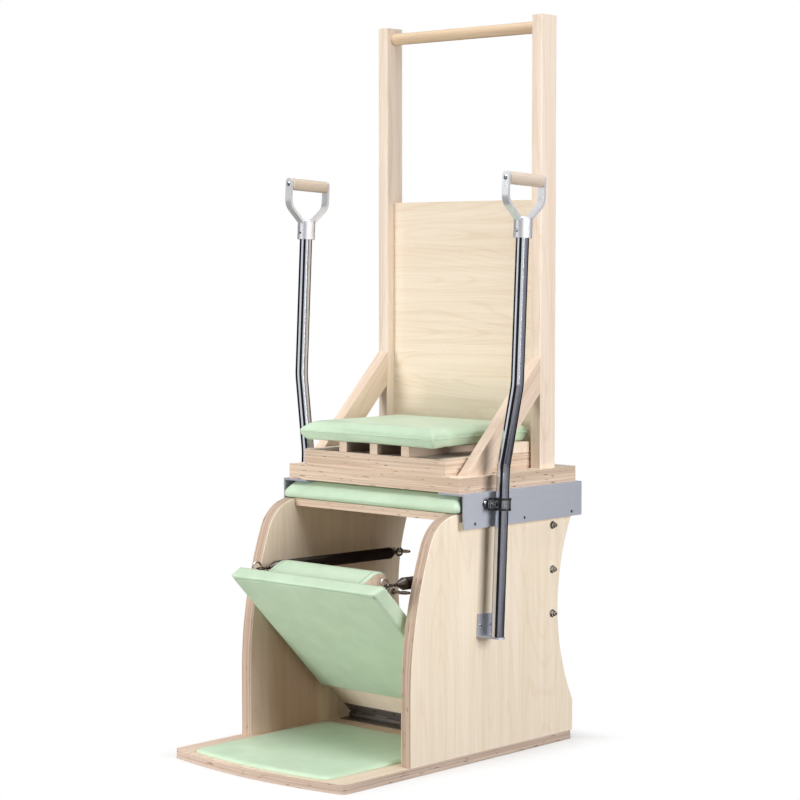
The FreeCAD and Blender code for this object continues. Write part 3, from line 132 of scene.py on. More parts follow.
# Upper seat pad
upper_pad_points = 97
upper_pad_top_power = 16
upper_pad_under_power = 40
upper_pad_corner_power = 10
upper_pad_draw = 0.008
upper_pad_tip = 0.007
upper_pad_rim = 0.0035
upper_pad_crown = 0.1
# Black underside, as cloth and as painted shade in the gaps below the pad: its inset and edge, then where it
# starts and is full, in shares of the half height
upper_pad_lining_inset = 0.018
upper_pad_lining_edge = 0.004
upper_pad_lining_start = 0.3
upper_pad_lining_full = 0.7
welt_radius = 0.0016
welt_points = 220
welt_sides = 8

# Ripples by the upper pad's front right corner, in shares of its half sizes, and waves along its front
ripple_height = 0.0016
ripple_u = 0.82
ripple_v = -0.92
ripple_spread = 0.03
ripple_rate_u = 60
ripple_rate_v = 23
wave_height = 0.0014
wave_middle = -0.09
wave_width = 0.13
wave_depth = 0.03
wave_full_depth = 0.01
wave_rate_z = 310
wave_rate_x = 17

# Points closer than this are joined where rows of a skin shrink to its middle
weld_distance = 0.00005

# Studio floor; what bounces off it is darker behind the pedal
floor_reach = 9.0
floor_drop = -0.0006
floor_white = (0.85, 0.85, 0.85, 1.0)
floor_bounce_front = (0.3, 0.27, 0.24, 1.0)
floor_bounce_rear = (0.08, 0.065, 0.05, 1.0)
floor_glossy = (0.07, 0.07, 0.08, 1.0)
floor_dark_start = -0.5
floor_dark_full = -0.2
floor_shadow_width = 0.12
floor_shadow_share = 0.4

# World's light
ambient_light = 0.07
pure_white = (1.0, 1.0, 1.0, 1.0)

# Lamps: name, place, height aimed at, size, power, whether shiny surfaces show them
lamps = (
    ("top_softbox", (0.5, -1.3, 6.0), 0.8, 3.4, 258.0, True),
    ("right_softbox", (3.9, 0.2, 1.3), 0.8, 2.2, 134.0, True),
    ("front_softbox", (-1.7, -4.2, 1.0), 0.5, 2.0, 92.0, False),
    ("pedal_light", (-0.7, -2.3, 0.2), 0.5, 0.6, 30.0, False),
    ("rear_softbox", (-3.6, 2.6, 2.4), 0.5, 2.4, 90.0, False),
)

# Drapes: name, first and last bearing from the camera, top, shade
drape_distance = 3.2
drape_low = 0.62
drape_top = 3.4
drapes = (
    ("left_drape", -178.0, -92.0, drape_top, 0.02),
    ("left_low_drape", -92.0, -51.0, drape_low, 0.04),
    ("camera_drape", -51.0, -3.0, drape_top, 0.03),
    ("right_low_drape", -3.0, 36.0, drape_low, 0.5),
    ("side_drape", 36.0, 106.0, drape_top, 0.34),
    ("rear_drape", 106.0, 178.0, drape_top, 0.03),
)

# Card beside the left panel, as y and z of its corners
card_gap = 0.02
card_corners = ((-0.46, 0.03), (0.06, 0.03), (0.06, 0.2), (-0.34, 0.46))
card_glow = (0.19, 0.14, 0.1, 1.0)

# Springs
spring_wire = 0.0016
spring_outer_radius = 0.015
spring_pitch = 0.00345
spring_points_per_turn = 20
spring_sides = 8


def srgb(red, green, blue):
    """Linear colour of an 8-bit one."""
    share = np.array((red, green, blue)) / 255
    linear = np.where(share <= 0.04045, share / 12.92, ((share + 0.055) / 1.055) ** 2.4)
    return (*linear.tolist(), 1.0)


# Shader sums

class Socket:
    """A shader socket that takes part in Python sums: each operator adds one Math node."""

    def __init__(self, tree, out):
        self.tree = tree
        self.out = out

    def math(self, operation, *values):
        node = self.tree.nodes.new("ShaderNodeMath")
        node.operation = operation
        for place, value in zip(node.inputs, values):
            plug(self.tree, place, value)
        return Socket(self.tree, node.outputs[0])

    def __add__(self, other):
        return self.math("ADD", self, other)

    def __sub__(self, other):
        return self.math("SUBTRACT", self, other)

    def __mul__(self, other):
        return self.math("MULTIPLY", self, other)

    def __abs__(self):
        return self.math("ABSOLUTE", self)

    def sine(self):
        return self.math("SINE", self)

    def top(self, other):
        return self.math("MAXIMUM", self, other)


def plug(tree, place, value):
    """Link a socket, or set a number or colour, on a node's input."""
    if isinstance(value, Socket):
        tree.links.new(value.out, place)
    else:
        place.default_value = value


class Finish:
    """One material with a Principled shader, whose constants are set on its own sockets."""

    def __init__(self, name, **constants):
        self.material = bpy.data.materials.new(name)
        self.material.use_nodes = True
        self.tree = self.material.node_tree
        self.shader = self.tree.nodes["Principled BSDF"]
        for word, value in constants.items():
            self.shader.inputs[word.replace("_", " ")].default_value = value

    def node(self, kind, settings=(), inputs=(), output=0):
        """Add a node of a kind, set its properties, then its sockets, and give one of its outputs."""
        made = self.tree.nodes.new("ShaderNode" + kind)
        for word, value in dict(settings).items():
            setattr(made, word, value)
        for place, value in dict(inputs).items():
            plug(self.tree, made.inputs[place], value)
        return Socket(self.tree, made.outputs[output])

    def place(self):
        """Object coordinates."""
        return self.node("TexCoord", output="Object")

    def facing(self):
        """The surface's direction in object coordinates."""
        return self.node("TexCoord", output="Normal")

    def along(self, vector, axis):
        """How far a vector reaches along an axis."""
        return self.node("VectorMath", {"operation": "DOT_PRODUCT"}, {0: vector, 1: axis}, output="Value")

    def joined(self, x, y, z):
        """A vector from three numbers."""
        return self.node("CombineXYZ", inputs={0: x, 1: y, 2: z})

    def painted(self, name):
        """A number stored on the mesh; nought where a mesh has none."""
        return self.node("Attribute", {"attribute_name": name}, output="Fac")

    def noise(self, vector, scale=1.0, detail=2.0, roughness=0.5, distortion=0.0):
        """Noise from 0 to 1."""
        return self.node("TexNoise", inputs={"Vector": vector, "Scale": scale, "Detail": detail,
                                             "Roughness": roughness, "Distortion": distortion})

    def ramp(self, value, low, high, start=0.0, end=1.0):
        """A smooth step from start to end as the value goes from low to high."""
        return self.node("MapRange", {"interpolation_type": "SMOOTHSTEP"},
                         {"Value": value, "From Min": low, "From Max": high, "To Min": start, "To Max": end})

    def mix(self, share, first, second):
        """A colour between two."""
        return self.node("Mix", {"data_type": "RGBA"}, {0: share, 6: first, 7: second}, output=2)

    def bump(self, height, strength, distance):
        """Raise the surface by a height pattern."""
        made = self.node("Bump", inputs={"Height": height, "Strength": strength, "Distance": distance},
                         output="Normal")
        plug(self.tree, self.shader.inputs["Normal"], made)

    def feed(self, **sockets):
        """Link patterns to the shader's sockets."""
        for word, value in sockets.items():
            plug(self.tree, self.shader.inputs[word.replace("_", " ")], value)


# Finishes

along_x = (1.0, 0.0, 0.0)
along_y = (0.0, 1.0, 0.0)
along_z = (0.0, 0.0, 1.0)
diagonal_share = math.sqrt(0.5)
up_pedal = (0.0, -diagonal_share, diagonal_share)
through_pedal = (0.0, diagonal_share, diagonal_share)
up_brace = (0.0, diagonal_share, diagonal_share)
through_brace = (0.0, -diagonal_share, diagonal_share)

maple_light = srgb(243, 230, 211)
maple_dark = srgb(228, 208, 181)
sheet_light = srgb(232, 218, 199)
sheet_dark = srgb(215, 194, 167)
beech_light = srgb(238, 223, 207)
beech_dark = srgb(214, 189, 166)
strut_light = srgb(226, 206, 187)
strut_dark = srgb(200, 172, 148)
bar_light = srgb(220, 197, 168)
bar_dark = srgb(198, 170, 139)
grip_light = srgb(208, 193, 177)
grip_dark = srgb(188, 170, 152)
sawn_pale = (srgb(221, 201, 181), srgb(182, 156, 135))
sawn_warm = (srgb(216, 196, 180), srgb(170, 145, 129))
sawn_deep = (srgb(201, 180, 162), srgb(152, 128, 110))
sawn_void_shade = srgb(104, 80, 64)
mint = srgb(184, 206, 180)
mint_pale = srgb(194, 214, 189)
mint_deep = srgb(166, 190, 162)
mint_fold_shade = srgb(96, 124, 98)
black_lining_and_shade = srgb(24, 24, 24)


def timber(name, grain, thick, light, dark, figure=0.0, plies=None):
    """Wood with its grain along one direction. Plies are the colours of a board's layers, shown on its edges.

    Fibres, streaks and growth rings are noises stretched along the grain; the rings are sines of a slow
    noise, which draws their arches. The layers are noises that change fast through the thickness, with small
    voids, dented and painted dark as the shade inside them.
    """
    wood = Finish(name, Roughness=0.5, Coat_Weight=0.12, Coat_Roughness=0.35)
    place = wood.place()
    run = wood.along(place, grain)
    depth = wood.along(place, thick)
    side = wood.along(place, np.cross(thick, grain).tolist())

    def pattern(by_run, by_side, by_depth, **settings):
        return wood.noise(wood.joined(run * by_run, side * by_side, depth * by_depth), **settings)

    fibres = pattern(7.0, 520.0, 520.0, detail=3.0, roughness=0.6)
    streaks = pattern(1.6, 46.0, 46.0, detail=3.0, roughness=0.55)
    drift = pattern(0.9, 7.5, 7.5, detail=1.0, roughness=0.35)
    rings = wood.ramp((drift * 150.0).sine(), 0.55, 1.0)
    flecks = wood.ramp(pattern(55.0, 640.0, 640.0, detail=1.0), 0.66, 0.74)
    tone = wood.ramp(streaks * 0.62 + fibres * 0.38, 0.3, 0.72)
    tone = tone * 0.5 + drift * 0.15 + rings * figure + flecks * 0.3
    colour = wood.mix(wood.ramp(tone, 0.0, 1.0), light, dark)
    height = fibres * 0.5 + flecks * -0.6
    if plies:
        edge = wood.ramp(abs(wood.along(wood.facing(), thick)), 0.85, 0.6)
        layer = wood.ramp(pattern(1.4, 1.4, 210.0, detail=1.0), 0.4, 0.6)
        band = pattern(6.0, 6.0, 620.0, detail=2.0, roughness=0.7)
        strand = pattern(40.0, 40.0, 900.0, detail=2.0)
        # Small voids in the layers: a dent, with painted shade for their dark insides
        hollow = wood.ramp(pattern(34.0, 34.0, 420.0, detail=0.0), 0.765, 0.79)
        shade = layer * 0.45 + wood.ramp(band, 0.35, 0.7) * 0.37 + strand * 0.18
        sawn = wood.mix(hollow, wood.mix(shade, *plies), sawn_void_shade)
        colour = wood.mix(edge, colour, sawn)
        height = height + edge * (layer * 0.5 - hollow * 2.0)
    wood.feed(Base_Color=colour, Roughness=wood.ramp(fibres, 0.2, 0.8, 0.42, 0.56))
    wood.bump(height, 0.25, 0.0003)
    return wood.material


def vinyl(name):
    """Satin leathercloth in mint green: fine pebbles, soft mottling and slightly shinier high spots.

    Painted shade in its folds and seams, painted shadow at the foot bar's foot, and the black cloth under
    a pad, which also stands in for the shade below the pad, are stored on the meshes for this finish to read.
    """
    cloth = Finish(name, Specular_IOR_Level=0.45, Sheen_Weight=0.08, Sheen_Roughness=0.4)
    place = cloth.place()
    pebbles = cloth.node("TexVoronoi", {"feature": "SMOOTH_F1"},
                         {"Vector": place, "Scale": 900.0, "Smoothness": 0.6})
    pores = cloth.noise(place, scale=2600.0, detail=2.0)
    mottle = cloth.noise(place, scale=14.0, detail=3.0, roughness=0.6)
    soft = cloth.noise(place, scale=3.2, detail=1.0)
    colour = cloth.mix(cloth.ramp(mottle, 0.3, 0.7), mint, mint_pale)
    colour = cloth.mix(cloth.ramp(soft, 0.35, 0.75, 0.0, 0.2), colour, mint_deep)
    # Darker where the pebbles sink, in the hollows between them
    colour = cloth.mix(cloth.ramp(pebbles, 0.35, 0.75, 0.0, 0.22), colour, mint_deep)
    # Painted shade in folds and seams, and painted shadow at the foot bar's foot: a darker green
    colour = cloth.mix(cloth.painted("fold"), colour, mint_fold_shade)
    # Black underside of a pad: cloth, and painted shade in the gaps below it
    colour = cloth.mix(cloth.painted("lining_and_shade"), colour, black_lining_and_shade)
    cloth.feed(Base_Color=colour, Roughness=cloth.ramp(pebbles + mottle * 0.4, 0.2, 1.0, 0.34, 0.48))
    cloth.bump(pebbles * -0.7 + pores * 0.3, 0.22, 0.0004)
    return cloth.material


def brushed(name, colour, dull, rough, grain, lines=1500.0, metallic=1.0):
    """Metal with fine lines along one direction and a soft cloudy tarnish."""
    metal = Finish(name, Metallic=metallic)
    place = metal.place()
    run = metal.along(place, grain)
    across = np.roll(grain, 1).tolist()
    third = np.roll(grain, 2).tolist()
    stretched = metal.joined(run * 9.0, metal.along(place, across) * lines, metal.along(place, third) * lines)
    scratches = metal.noise(stretched, detail=3.0, roughness=0.65)
    cloud = metal.noise(place, scale=22.0, detail=3.0, roughness=0.6)
    metal.feed(Base_Color=metal.mix(metal.ramp(scratches * 0.8 + cloud * 0.2, 0.3, 0.7), colour, dull),
               Roughness=metal.ramp(scratches + cloud * 0.2, 0.35, 0.85, rough - 0.05, rough + 0.05))
    metal.bump(scratches, 0.06, 0.0001)
    return metal.material


def polished(name, colour, smear, rough):
    """Bright plated metal with faint smears that dull its shine."""
    metal = Finish(name, Metallic=1.0)
    place = metal.place()
    smears = metal.noise(place, scale=18.0, detail=4.0, roughness=0.65, distortion=0.6)
    specks = metal.noise(place, scale=420.0, detail=2.0)
    metal.feed(Base_Color=metal.mix(metal.ramp(smears, 0.4, 0.75), colour, smear),
               Roughness=metal.ramp(smears * 0.7 + specks * 0.3, 0.35, 0.7, rough, rough + 0.04))
    return metal.material


def moulded(name, colour, shade, rough):
    """Rubber or plastic with a fine moulded skin."""
    skin = Finish(name, Specular_IOR_Level=0.4)
    place = skin.place()
    grain = skin.noise(place, scale=1400.0, detail=2.0)
    cloud = skin.noise(place, scale=30.0, detail=2.0)
    skin.feed(Base_Color=skin.mix(cloud, colour, shade),
              Roughness=skin.ramp(grain, 0.3, 0.7, rough - 0.08, rough + 0.06))
    skin.bump(grain, 0.15, 0.0002)
    return skin.material


panel_wood = timber("maple panels", along_z, along_x, maple_light, maple_dark, figure=0.15, plies=sawn_deep)
board_wood = timber("plywood boards", along_x, along_z, maple_light, maple_dark, figure=0.12, plies=sawn_pale)
base_wood = timber("plywood base", along_y, along_z, strut_light, strut_dark, figure=0.12, plies=sawn_warm)
back_wood = timber("figured back", along_x, along_y, sheet_light, sheet_dark, figure=0.17, plies=sawn_pale)
pedal_wood = timber("pedal plywood", up_pedal, through_pedal, maple_light, maple_dark, plies=sawn_pale)
post_wood = timber("beech posts", along_z, along_x, beech_light, beech_dark, figure=0.14)
brace_wood = timber("beech braces", up_brace, through_brace, strut_light, strut_dark, figure=0.16)
rib_wood = timber("beech ribs", along_y, along_z, strut_light, strut_dark, figure=0.1)
cross_wood = timber("beech cross bars", along_x, along_z, beech_light, beech_dark, figure=0.1)
bar_wood = timber("turned top bar", along_x, along_z, bar_light, bar_dark, figure=0.12)
grip_wood = timber("turned grips", along_y, along_z, grip_light, grip_dark, figure=0.12)
core_wood = timber("foot bar core", along_x, along_z, *sawn_pale, figure=0.2)
mint_vinyl = vinyl("mint vinyl")
rail_metal = brushed("satin rails", srgb(200, 203, 212), srgb(186, 190, 200), 0.5, along_y, metallic=0.6)
yoke_metal = brushed("bright yokes", srgb(236, 237, 240), srgb(216, 218, 223), 0.3, along_z, 900.0, 0.55)
zinc_metal = polished("bright zinc", srgb(205, 206, 208), srgb(168, 170, 174), 0.2)
chrome_metal = polished("chromed tubes", srgb(206, 209, 216), srgb(196, 200, 208), 0.06)
hinge_metal = brushed("dark hinge", srgb(150, 143, 137), srgb(104, 98, 93), 0.4, along_x, metallic=0.5)
hook_metal = polished("dark hooks", srgb(84, 78, 74), srgb(52, 48, 45), 0.3)
band_metal = polished("clamp bands", srgb(172, 174, 178), srgb(140, 142, 146), 0.16)
bolt_metal = polished("bright bolts", srgb(192, 188, 182), srgb(132, 127, 121), 0.1)
screw_metal = polished("dull screws", srgb(96, 96, 99), srgb(66, 66, 69), 0.35)
spring_metal = brushed("black springs", srgb(62, 54, 51), srgb(38, 33, 31), 0.34, along_y, lines=300.0)
liner_rubber = moulded("black rubber", srgb(16, 16, 17), srgb(26, 26, 27), 0.5)
glide_plastic = moulded("pale glide", srgb(226, 219, 200), srgb(204, 194, 170), 0.5)

finishes = {
    panel_wood: ("left_side_panel", "right_side_panel"),
    board_wood: ("seat_board", "deck_board", "seat_riser_board"),
    base_wood: ("base_board",),
    back_wood: ("back_panel",),
    pedal_wood: ("pedal_board",),
    post_wood: ("left_post", "right_post"),
    brace_wood: ("left_brace", "right_brace"),
    rib_wood: ("seat_ribs",),
    cross_wood: ("rear_seat_rail", "seat_board_dowels"),
    bar_wood: ("top_bar",),
    grip_wood: ("left_handle_grip", "right_handle_grip"),
    core_wood: ("foot_bar_core",),
    rail_metal: ("left_rail", "right_rail", "left_pole_bracket", "right_pole_bracket"),
    yoke_metal: ("left_handle_yoke", "right_handle_yoke"),
    chrome_metal: ("left_pole_tube", "right_pole_tube"),
    hinge_metal: ("hinge_base_leaf", "hinge_pedal_leaf", "hinge_pin"),
    hook_metal: ("left_spring_rear_hook", "right_spring_rear_hook",
                 "left_spring_front_hook", "right_spring_front_hook"),
    liner_rubber: ("clamp_liners",),
    band_metal: ("left_clamp_band", "right_clamp_band"),
    glide_plastic: ("rail_glides",),
    zinc_metal: ("base_screws", "hinge_base_screws", "hinge_pedal_screws", "anchor_washers", "bracket_screws",
                 "foot_bar_screws", "deck_screws", "left_handle_bolts", "right_handle_bolts", "pedal_eyes"),
    bolt_metal: ("clamp_bolts", "anchor_nuts", "left_spring_anchors", "right_spring_anchors"),
    screw_metal: ("rail_screws",),
}


def dress_frame():
    """Give each shown CAD node its finish."""
    for material, names in finishes.items():
        for name in names:
            slots = frame["nodes"][name].data.materials
            slots.clear()
            slots.append(material)


# Meshes

def grid_faces(rows, columns, around):
    """Quads of a grid of rows and columns of points; around closes each row on itself."""
    row = np.arange(rows - 1)[:, None]
    column = np.arange(columns if around else columns - 1)[None, :]
    following = (column + 1) % columns
    corners = (row * columns + column, row * columns + following,
               (row + 1) * columns + following, (row + 1) * columns + column)
    return np.stack(np.broadcast_arrays(*corners), axis=-1).reshape(-1, 4)


def make_piece(name, points, faces, material):
    """A smooth mesh object at the origin, from any array of points and a list or array of faces."""
    mesh = bpy.data.meshes.new(name)
    faces = faces if isinstance(faces, list) else faces.tolist()
    mesh.from_pydata(np.asarray(points, float).reshape(-1, 3).tolist(), [], faces)
    piece = bpy.data.objects.new(name, mesh)
    bpy.context.scene.collection.objects.link(piece)
    finish_mesh(piece, material)
    return piece


def finish_mesh(piece, material):
    """One material, smooth shading."""
    mesh = piece.data
    mesh.materials.clear()
    mesh.materials.append(material)
    mesh.polygons.foreach_set("use_smooth", np.ones(len(mesh.polygons), bool))
    mesh.update()


def corners_of(mesh):
    """A mesh's points as an array."""
    points = np.zeros(len(mesh.vertices) * 3)
    mesh.vertices.foreach_get("co", points)
    return points.reshape(-1, 3)


def move_to(mesh, points):
    """Set a mesh's points from an array."""
    mesh.vertices.foreach_set("co", points.ravel())
    mesh.update()


def painted(piece, name, values):
    """Store a number for each point of a piece's mesh, for its finish to read."""
    stored = piece.data.attributes.new(name, "FLOAT", "POINT")
    stored.data.foreach_set("value", np.asarray(values, np.float32).ravel())


def step(value, low, high):
    """A smooth step from 0 to 1 as a value goes from low to high."""
    share = np.clip((value - low) / (high - low), 0.0, 1.0)
    return share ** 2 * (3 - 2 * share)


def bell(distance, width):
    """A narrow bell of the distance from a line."""
    return np.exp(-(distance / width) ** 2)


def evened(piece, voxel):
    """Replace a piece's mesh by one of even quads."""
    even = piece.modifiers.new("even", "REMESH")
    even.mode = "VOXEL"
    even.voxel_size = voxel
    take_modifiers(piece)


def take_modifiers(piece):
    """Apply a piece's modifiers to its mesh."""
    graph = bpy.context.evaluated_depsgraph_get()
    mesh = bpy.data.meshes.new_from_object(piece.evaluated_get(graph))
    piece.modifiers.clear()
    piece.data = mesh


def swelled(piece, cap):
    """Stuff a closed pad: cloth with inside pressure and no gravity moves its points, by cap at most."""
    start = corners_of(piece.data)
    cloth = piece.modifiers.new("stuffing", "CLOTH")
    cloth.settings.use_pressure = True
    cloth.settings.uniform_pressure_force = pad_pressure
    cloth.settings.tension_stiffness = pad_stretch_stiffness
    cloth.settings.compression_stiffness = pad_stretch_stiffness
    cloth.settings.bending_stiffness = pad_bend_stiffness
    cloth.settings.effector_weights.gravity = 0.0
    cloth.collision_settings.use_collision = False
    cloth.point_cache.frame_start = 1
    cloth.point_cache.frame_end = pad_frames
    for moment in range(1, pad_frames + 1):
        bpy.context.scene.frame_set(moment)
    take_modifiers(piece)
    bpy.context.scene.frame_set(1)
    shift = corners_of(piece.data) - start
    length = np.linalg.norm(shift, axis=1, keepdims=True)
    move_to(piece.data, start + shift * np.minimum(1.0, cap / np.maximum(length, 1e-9)))


def rounder(piece):
    """One level of subdivision, the same on screen and in renders."""
    finer = piece.modifiers.new("rounder", "SUBSURF")
    finer.levels = 1
    finer.render_levels = 1


def walled(piece, thickness):
    """Give an open skin its thickness, inwards."""
    wall = piece.modifiers.new("wall", "SOLIDIFY")
    wall.thickness = thickness
    wall.offset = -1.0
    wall.use_rim = True


def tube(name, path, radius, sides, material, closed):
    """Round bar along a path: each point is the path's plus radius times (cos a normal + sin a binormal).

    The normal is the path's tangent crossed with the direction that the path turns least about.
    """
    ahead = np.roll(path, -1, axis=0) - np.roll(path, 1, axis=0)
    if not closed:
        ahead[0] = path[1] - path[0]
        ahead[-1] = path[-1] - path[-2]
    ahead /= np.linalg.norm(ahead, axis=1, keepdims=True)
    spread = np.linalg.svd(path - path.mean(0), full_matrices=False)[2]
    normal = np.cross(ahead, spread[2] if closed else spread[0])
    normal /= np.linalg.norm(normal, axis=1, keepdims=True)
    binormal = np.cross(ahead, normal)
    angle = np.linspace(0, 2 * np.pi, sides, endpoint=False)
    ring = np.cos(angle)[None, :, None] * normal[:, None] + np.sin(angle)[None, :, None] * binormal[:, None]
    points = path[:, None] + radius * ring
    if closed:
        faces = (grid_faces(len(path) + 1, sides, True) % (len(path) * sides)).tolist()
    else:
        faces = grid_faces(len(path), sides, True).tolist()
        last = (len(path) - 1) * sides
        faces += [list(range(sides))[::-1], list(range(last, last + sides))]
    return make_piece(name, points, faces, material)


def rounded_rectangle(x0, x1, y0, y1, radius, per_side, per_corner):
    """Closed outline: quarter circles about four corners, joined by straight sides with points in between."""
    corners = np.array([[x1 - radius, y0 + radius], [x1 - radius, y1 - radius],
                        [x0 + radius, y1 - radius], [x0 + radius, y0 + radius]])
    turn = np.radians([-90.0, 0.0, 90.0, 180.0])[:, None] + np.linspace(0, np.pi / 2, per_corner)[None, :]
    arcs = corners[:, None] + radius * np.stack([np.cos(turn), np.sin(turn)], axis=-1)
    ends = arcs[:, -1]
    steps = np.linspace(0, 1, per_side + 2)[1:-1]
    sides = ends[:, None] + (np.roll(arcs[:, 0], -1, axis=0) - ends)[:, None] * steps[None, :, None]
    return np.concatenate([arcs, sides], axis=1).reshape(-1, 2)


def level_row(flat, height):
    """Points of a flat outline, all at one height."""
    return np.column_stack([flat, np.full(len(flat), height)])


def welded(piece):
    """Join the points of rows that shrink to a skin's middle."""
    weld = piece.modifiers.new("middle", "WELD")
    weld.merge_threshold = weld_distance


def vinyl_piece(piece, body, fill, *nodes):
    """Set a padded piece on its body, in place of its CAD nodes."""
    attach(piece, body)
    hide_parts(*nodes)


# Seat pads

def upper_pad():
    """Box cushion of the upper seat: two sheets on a grid u, v from -1 to 1 that meet at a seam half way up.

    x is u times the half width, drawn in by a share of (1 - v^2) between the corners and let out at their
    tips, and y alike. The height off the seam is a rim plus the rest of the half height times
    ((1 - |u|^p) (1 - |v|^p))^0.5, so the corners pinch; p is larger for the squarer lower sheet. Ripples lie
    by the front right corner and waves along the front. The underside is painted black inside its border, as
    black cloth under the pad and as painted shade in the gaps below it.
    """
    low, high = (np.array(corner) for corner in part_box("upper_seat_pad"))
    middle = (low + high) / 2
    half = (high - low) / 2
    count = upper_pad_points
    share = np.sin(np.linspace(-np.pi / 2, np.pi / 2, count))
    u, v = np.meshgrid(share, share)
    rise = ((1 - np.abs(u) ** upper_pad_top_power) * (1 - np.abs(v) ** upper_pad_top_power)) ** 0.5
    fall = ((1 - np.abs(u) ** upper_pad_under_power) * (1 - np.abs(v) ** upper_pad_under_power)) ** 0.5
    corner = (u * v) ** upper_pad_corner_power
    x = middle[0] + u * (half[0] - upper_pad_draw * (1 - v ** 2) + upper_pad_tip * corner)
    y = middle[1] + v * (half[1] - upper_pad_draw * (1 - u ** 2) + upper_pad_tip * corner)
    near_corner = np.exp(-((u - ripple_u) ** 2 + (v - ripple_v) ** 2) / ripple_spread)
    ripple = ripple_height * np.sin(ripple_rate_u * u + ripple_rate_v * v) * near_corner
    full = half[2] - upper_pad_rim
    crown = 1.0 - upper_pad_crown * np.maximum(np.abs(u), np.abs(v)) ** 2
    upper = np.stack([x, y, middle[2] + upper_pad_rim + (full * crown + ripple) * rise], axis=-1)
    lower = np.stack([x, y, middle[2] - upper_pad_rim - full * fall], axis=-1)
    faces = grid_faces(count, count, False)
    sheet = count * count
    border = np.concatenate([np.arange(count), np.arange(1, count) * count + count - 1,
                             sheet - 2 - np.arange(count - 1), (count - 2 - np.arange(count - 2)) * count])
    following = np.roll(border, -1)
    wall = np.stack([border, border + sheet, following + sheet, following], axis=-1)
    both = np.concatenate([upper.reshape(-1, 3), lower.reshape(-1, 3)])
    sheets = np.concatenate([faces, faces[:, ::-1] + sheet, wall])
    piece = make_piece("upper_cushion", both, sheets, mint_vinyl)
    evened(piece, upper_pad_voxel)
    swelled(piece, upper_pad_swell)
    points = corners_of(piece.data)
    points[:, 2] = np.maximum(points[:, 2], low[2])
    front = step(-points[:, 1], -low[1] - wave_depth, -low[1] - wave_full_depth)
    front = front * bell(points[:, 0] - wave_middle, wave_width)
    wave = np.sin(wave_rate_z * points[:, 2] + wave_rate_x * points[:, 0])
    points[:, 1] += wave_height * front * wave
    move_to(piece.data, points)
    finish_mesh(piece, mint_vinyl)
    inside = (half[:2] - np.abs(points[:, :2] - middle[:2])).min(axis=1)
    under = step(middle[2] - points[:, 2], upper_pad_lining_start * half[2], upper_pad_lining_full * half[2])
    lining_and_shade = step(inside, upper_pad_lining_inset, upper_pad_lining_inset + upper_pad_lining_edge)
    # Painted black underside: cloth under the pad, and painted shade in the gaps below it
    painted(piece, "lining_and_shade", under * lining_and_shade)
    rounder(piece)
    vinyl_piece(piece, "seat_unit", 0.7, "upper_seat_pad")
    return piece, middle


def seam_line(piece, middle, count):
    """The pad's outline at its seam: of the points at the seam's height, the furthest in each direction."""
    points = corners_of(piece.data)
    near = points[np.abs(points[:, 2] - middle[2]) < upper_pad_voxel]
    offset = near[:, :2] - middle[:2]
    scale = np.abs(offset).max(0)
    angle = np.arctan2(offset[:, 1] / scale[1], offset[:, 0] / scale[0])
    reach = np.hypot(*(offset / scale).T)
    sector = np.floor((angle + np.pi) / (2 * np.pi) * count).astype(int) % count
    furthest = np.zeros(count)
    np.maximum.at(furthest, sector, reach)
    furthest = (np.roll(furthest, 1) + 2 * furthest + np.roll(furthest, -1)) / 4
    middle_angle = (np.arange(count) + 0.5) / count * 2 * np.pi - np.pi
    flat = np.stack([np.cos(middle_angle), np.sin(middle_angle)], axis=-1) * furthest[:, None] * scale
    return level_row(flat + middle[:2], middle[2])


def upper_welt(piece, middle):
    """Sewn welt round the upper cushion."""
    line = seam_line(piece, middle, welt_points)
    welt = tube("upper_cushion_welt", line, welt_radius, welt_sides, mint_vinyl, True)
    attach(welt, "seat_unit")


def lower_pad():
    """Bullnosed pad on the seat board: the CAD pad's own form, remeshed and stuffed, flat where it rests."""
    low, high = (np.array(corner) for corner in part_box("lower_seat_pad"))
    piece = bpy.data.objects.new("lower_cushion", frame["nodes"]["lower_seat_pad"].data.copy())
    bpy.context.scene.collection.objects.link(piece)
    evened(piece, lower_pad_voxel)
    swelled(piece, lower_pad_swell)
    points = np.clip(corners_of(piece.data), low, high)
    move_to(piece.data, points)
    finish_mesh(piece, mint_vinyl)
    rounder(piece)
    vinyl_piece(piece, "chair_frame", 0.75, "lower_seat_pad")


# Pedal

def on_pedal(x, s, n):
    """Points of the pedal's flat frame in the model's frame, at the rest angle."""
    pin = next(joint["pos_m"] for joint in frame["joints"] if joint["name"] == "pedal_swing")
    angle = math.radians(pedal_rest_angle)
    y = pin[1] - s * math.cos(angle) + n * math.sin(angle)
    z = pin[2] + s * math.sin(angle) + n * math.cos(angle)
    return np.stack(np.broadcast_arrays(x, y, z), axis=-1)


def pedal_outline(n, inset):
    """Pad outline at a height n: it flares towards the back, where the slanted free end comes in."""
    share = (n - pedal_face) / (pedal_board_high - pedal_face)
    half = pedal_half_width - pedal_face_inset * (1 - share) - inset
    end = pedal_length - pedal_end_slope * share - inset
    radius = max(pedal_corner_radius - inset, pedal_least_corner)
    return rounded_rectangle(-half, half, pedal_pad_start + inset, end, radius, 60, 7)


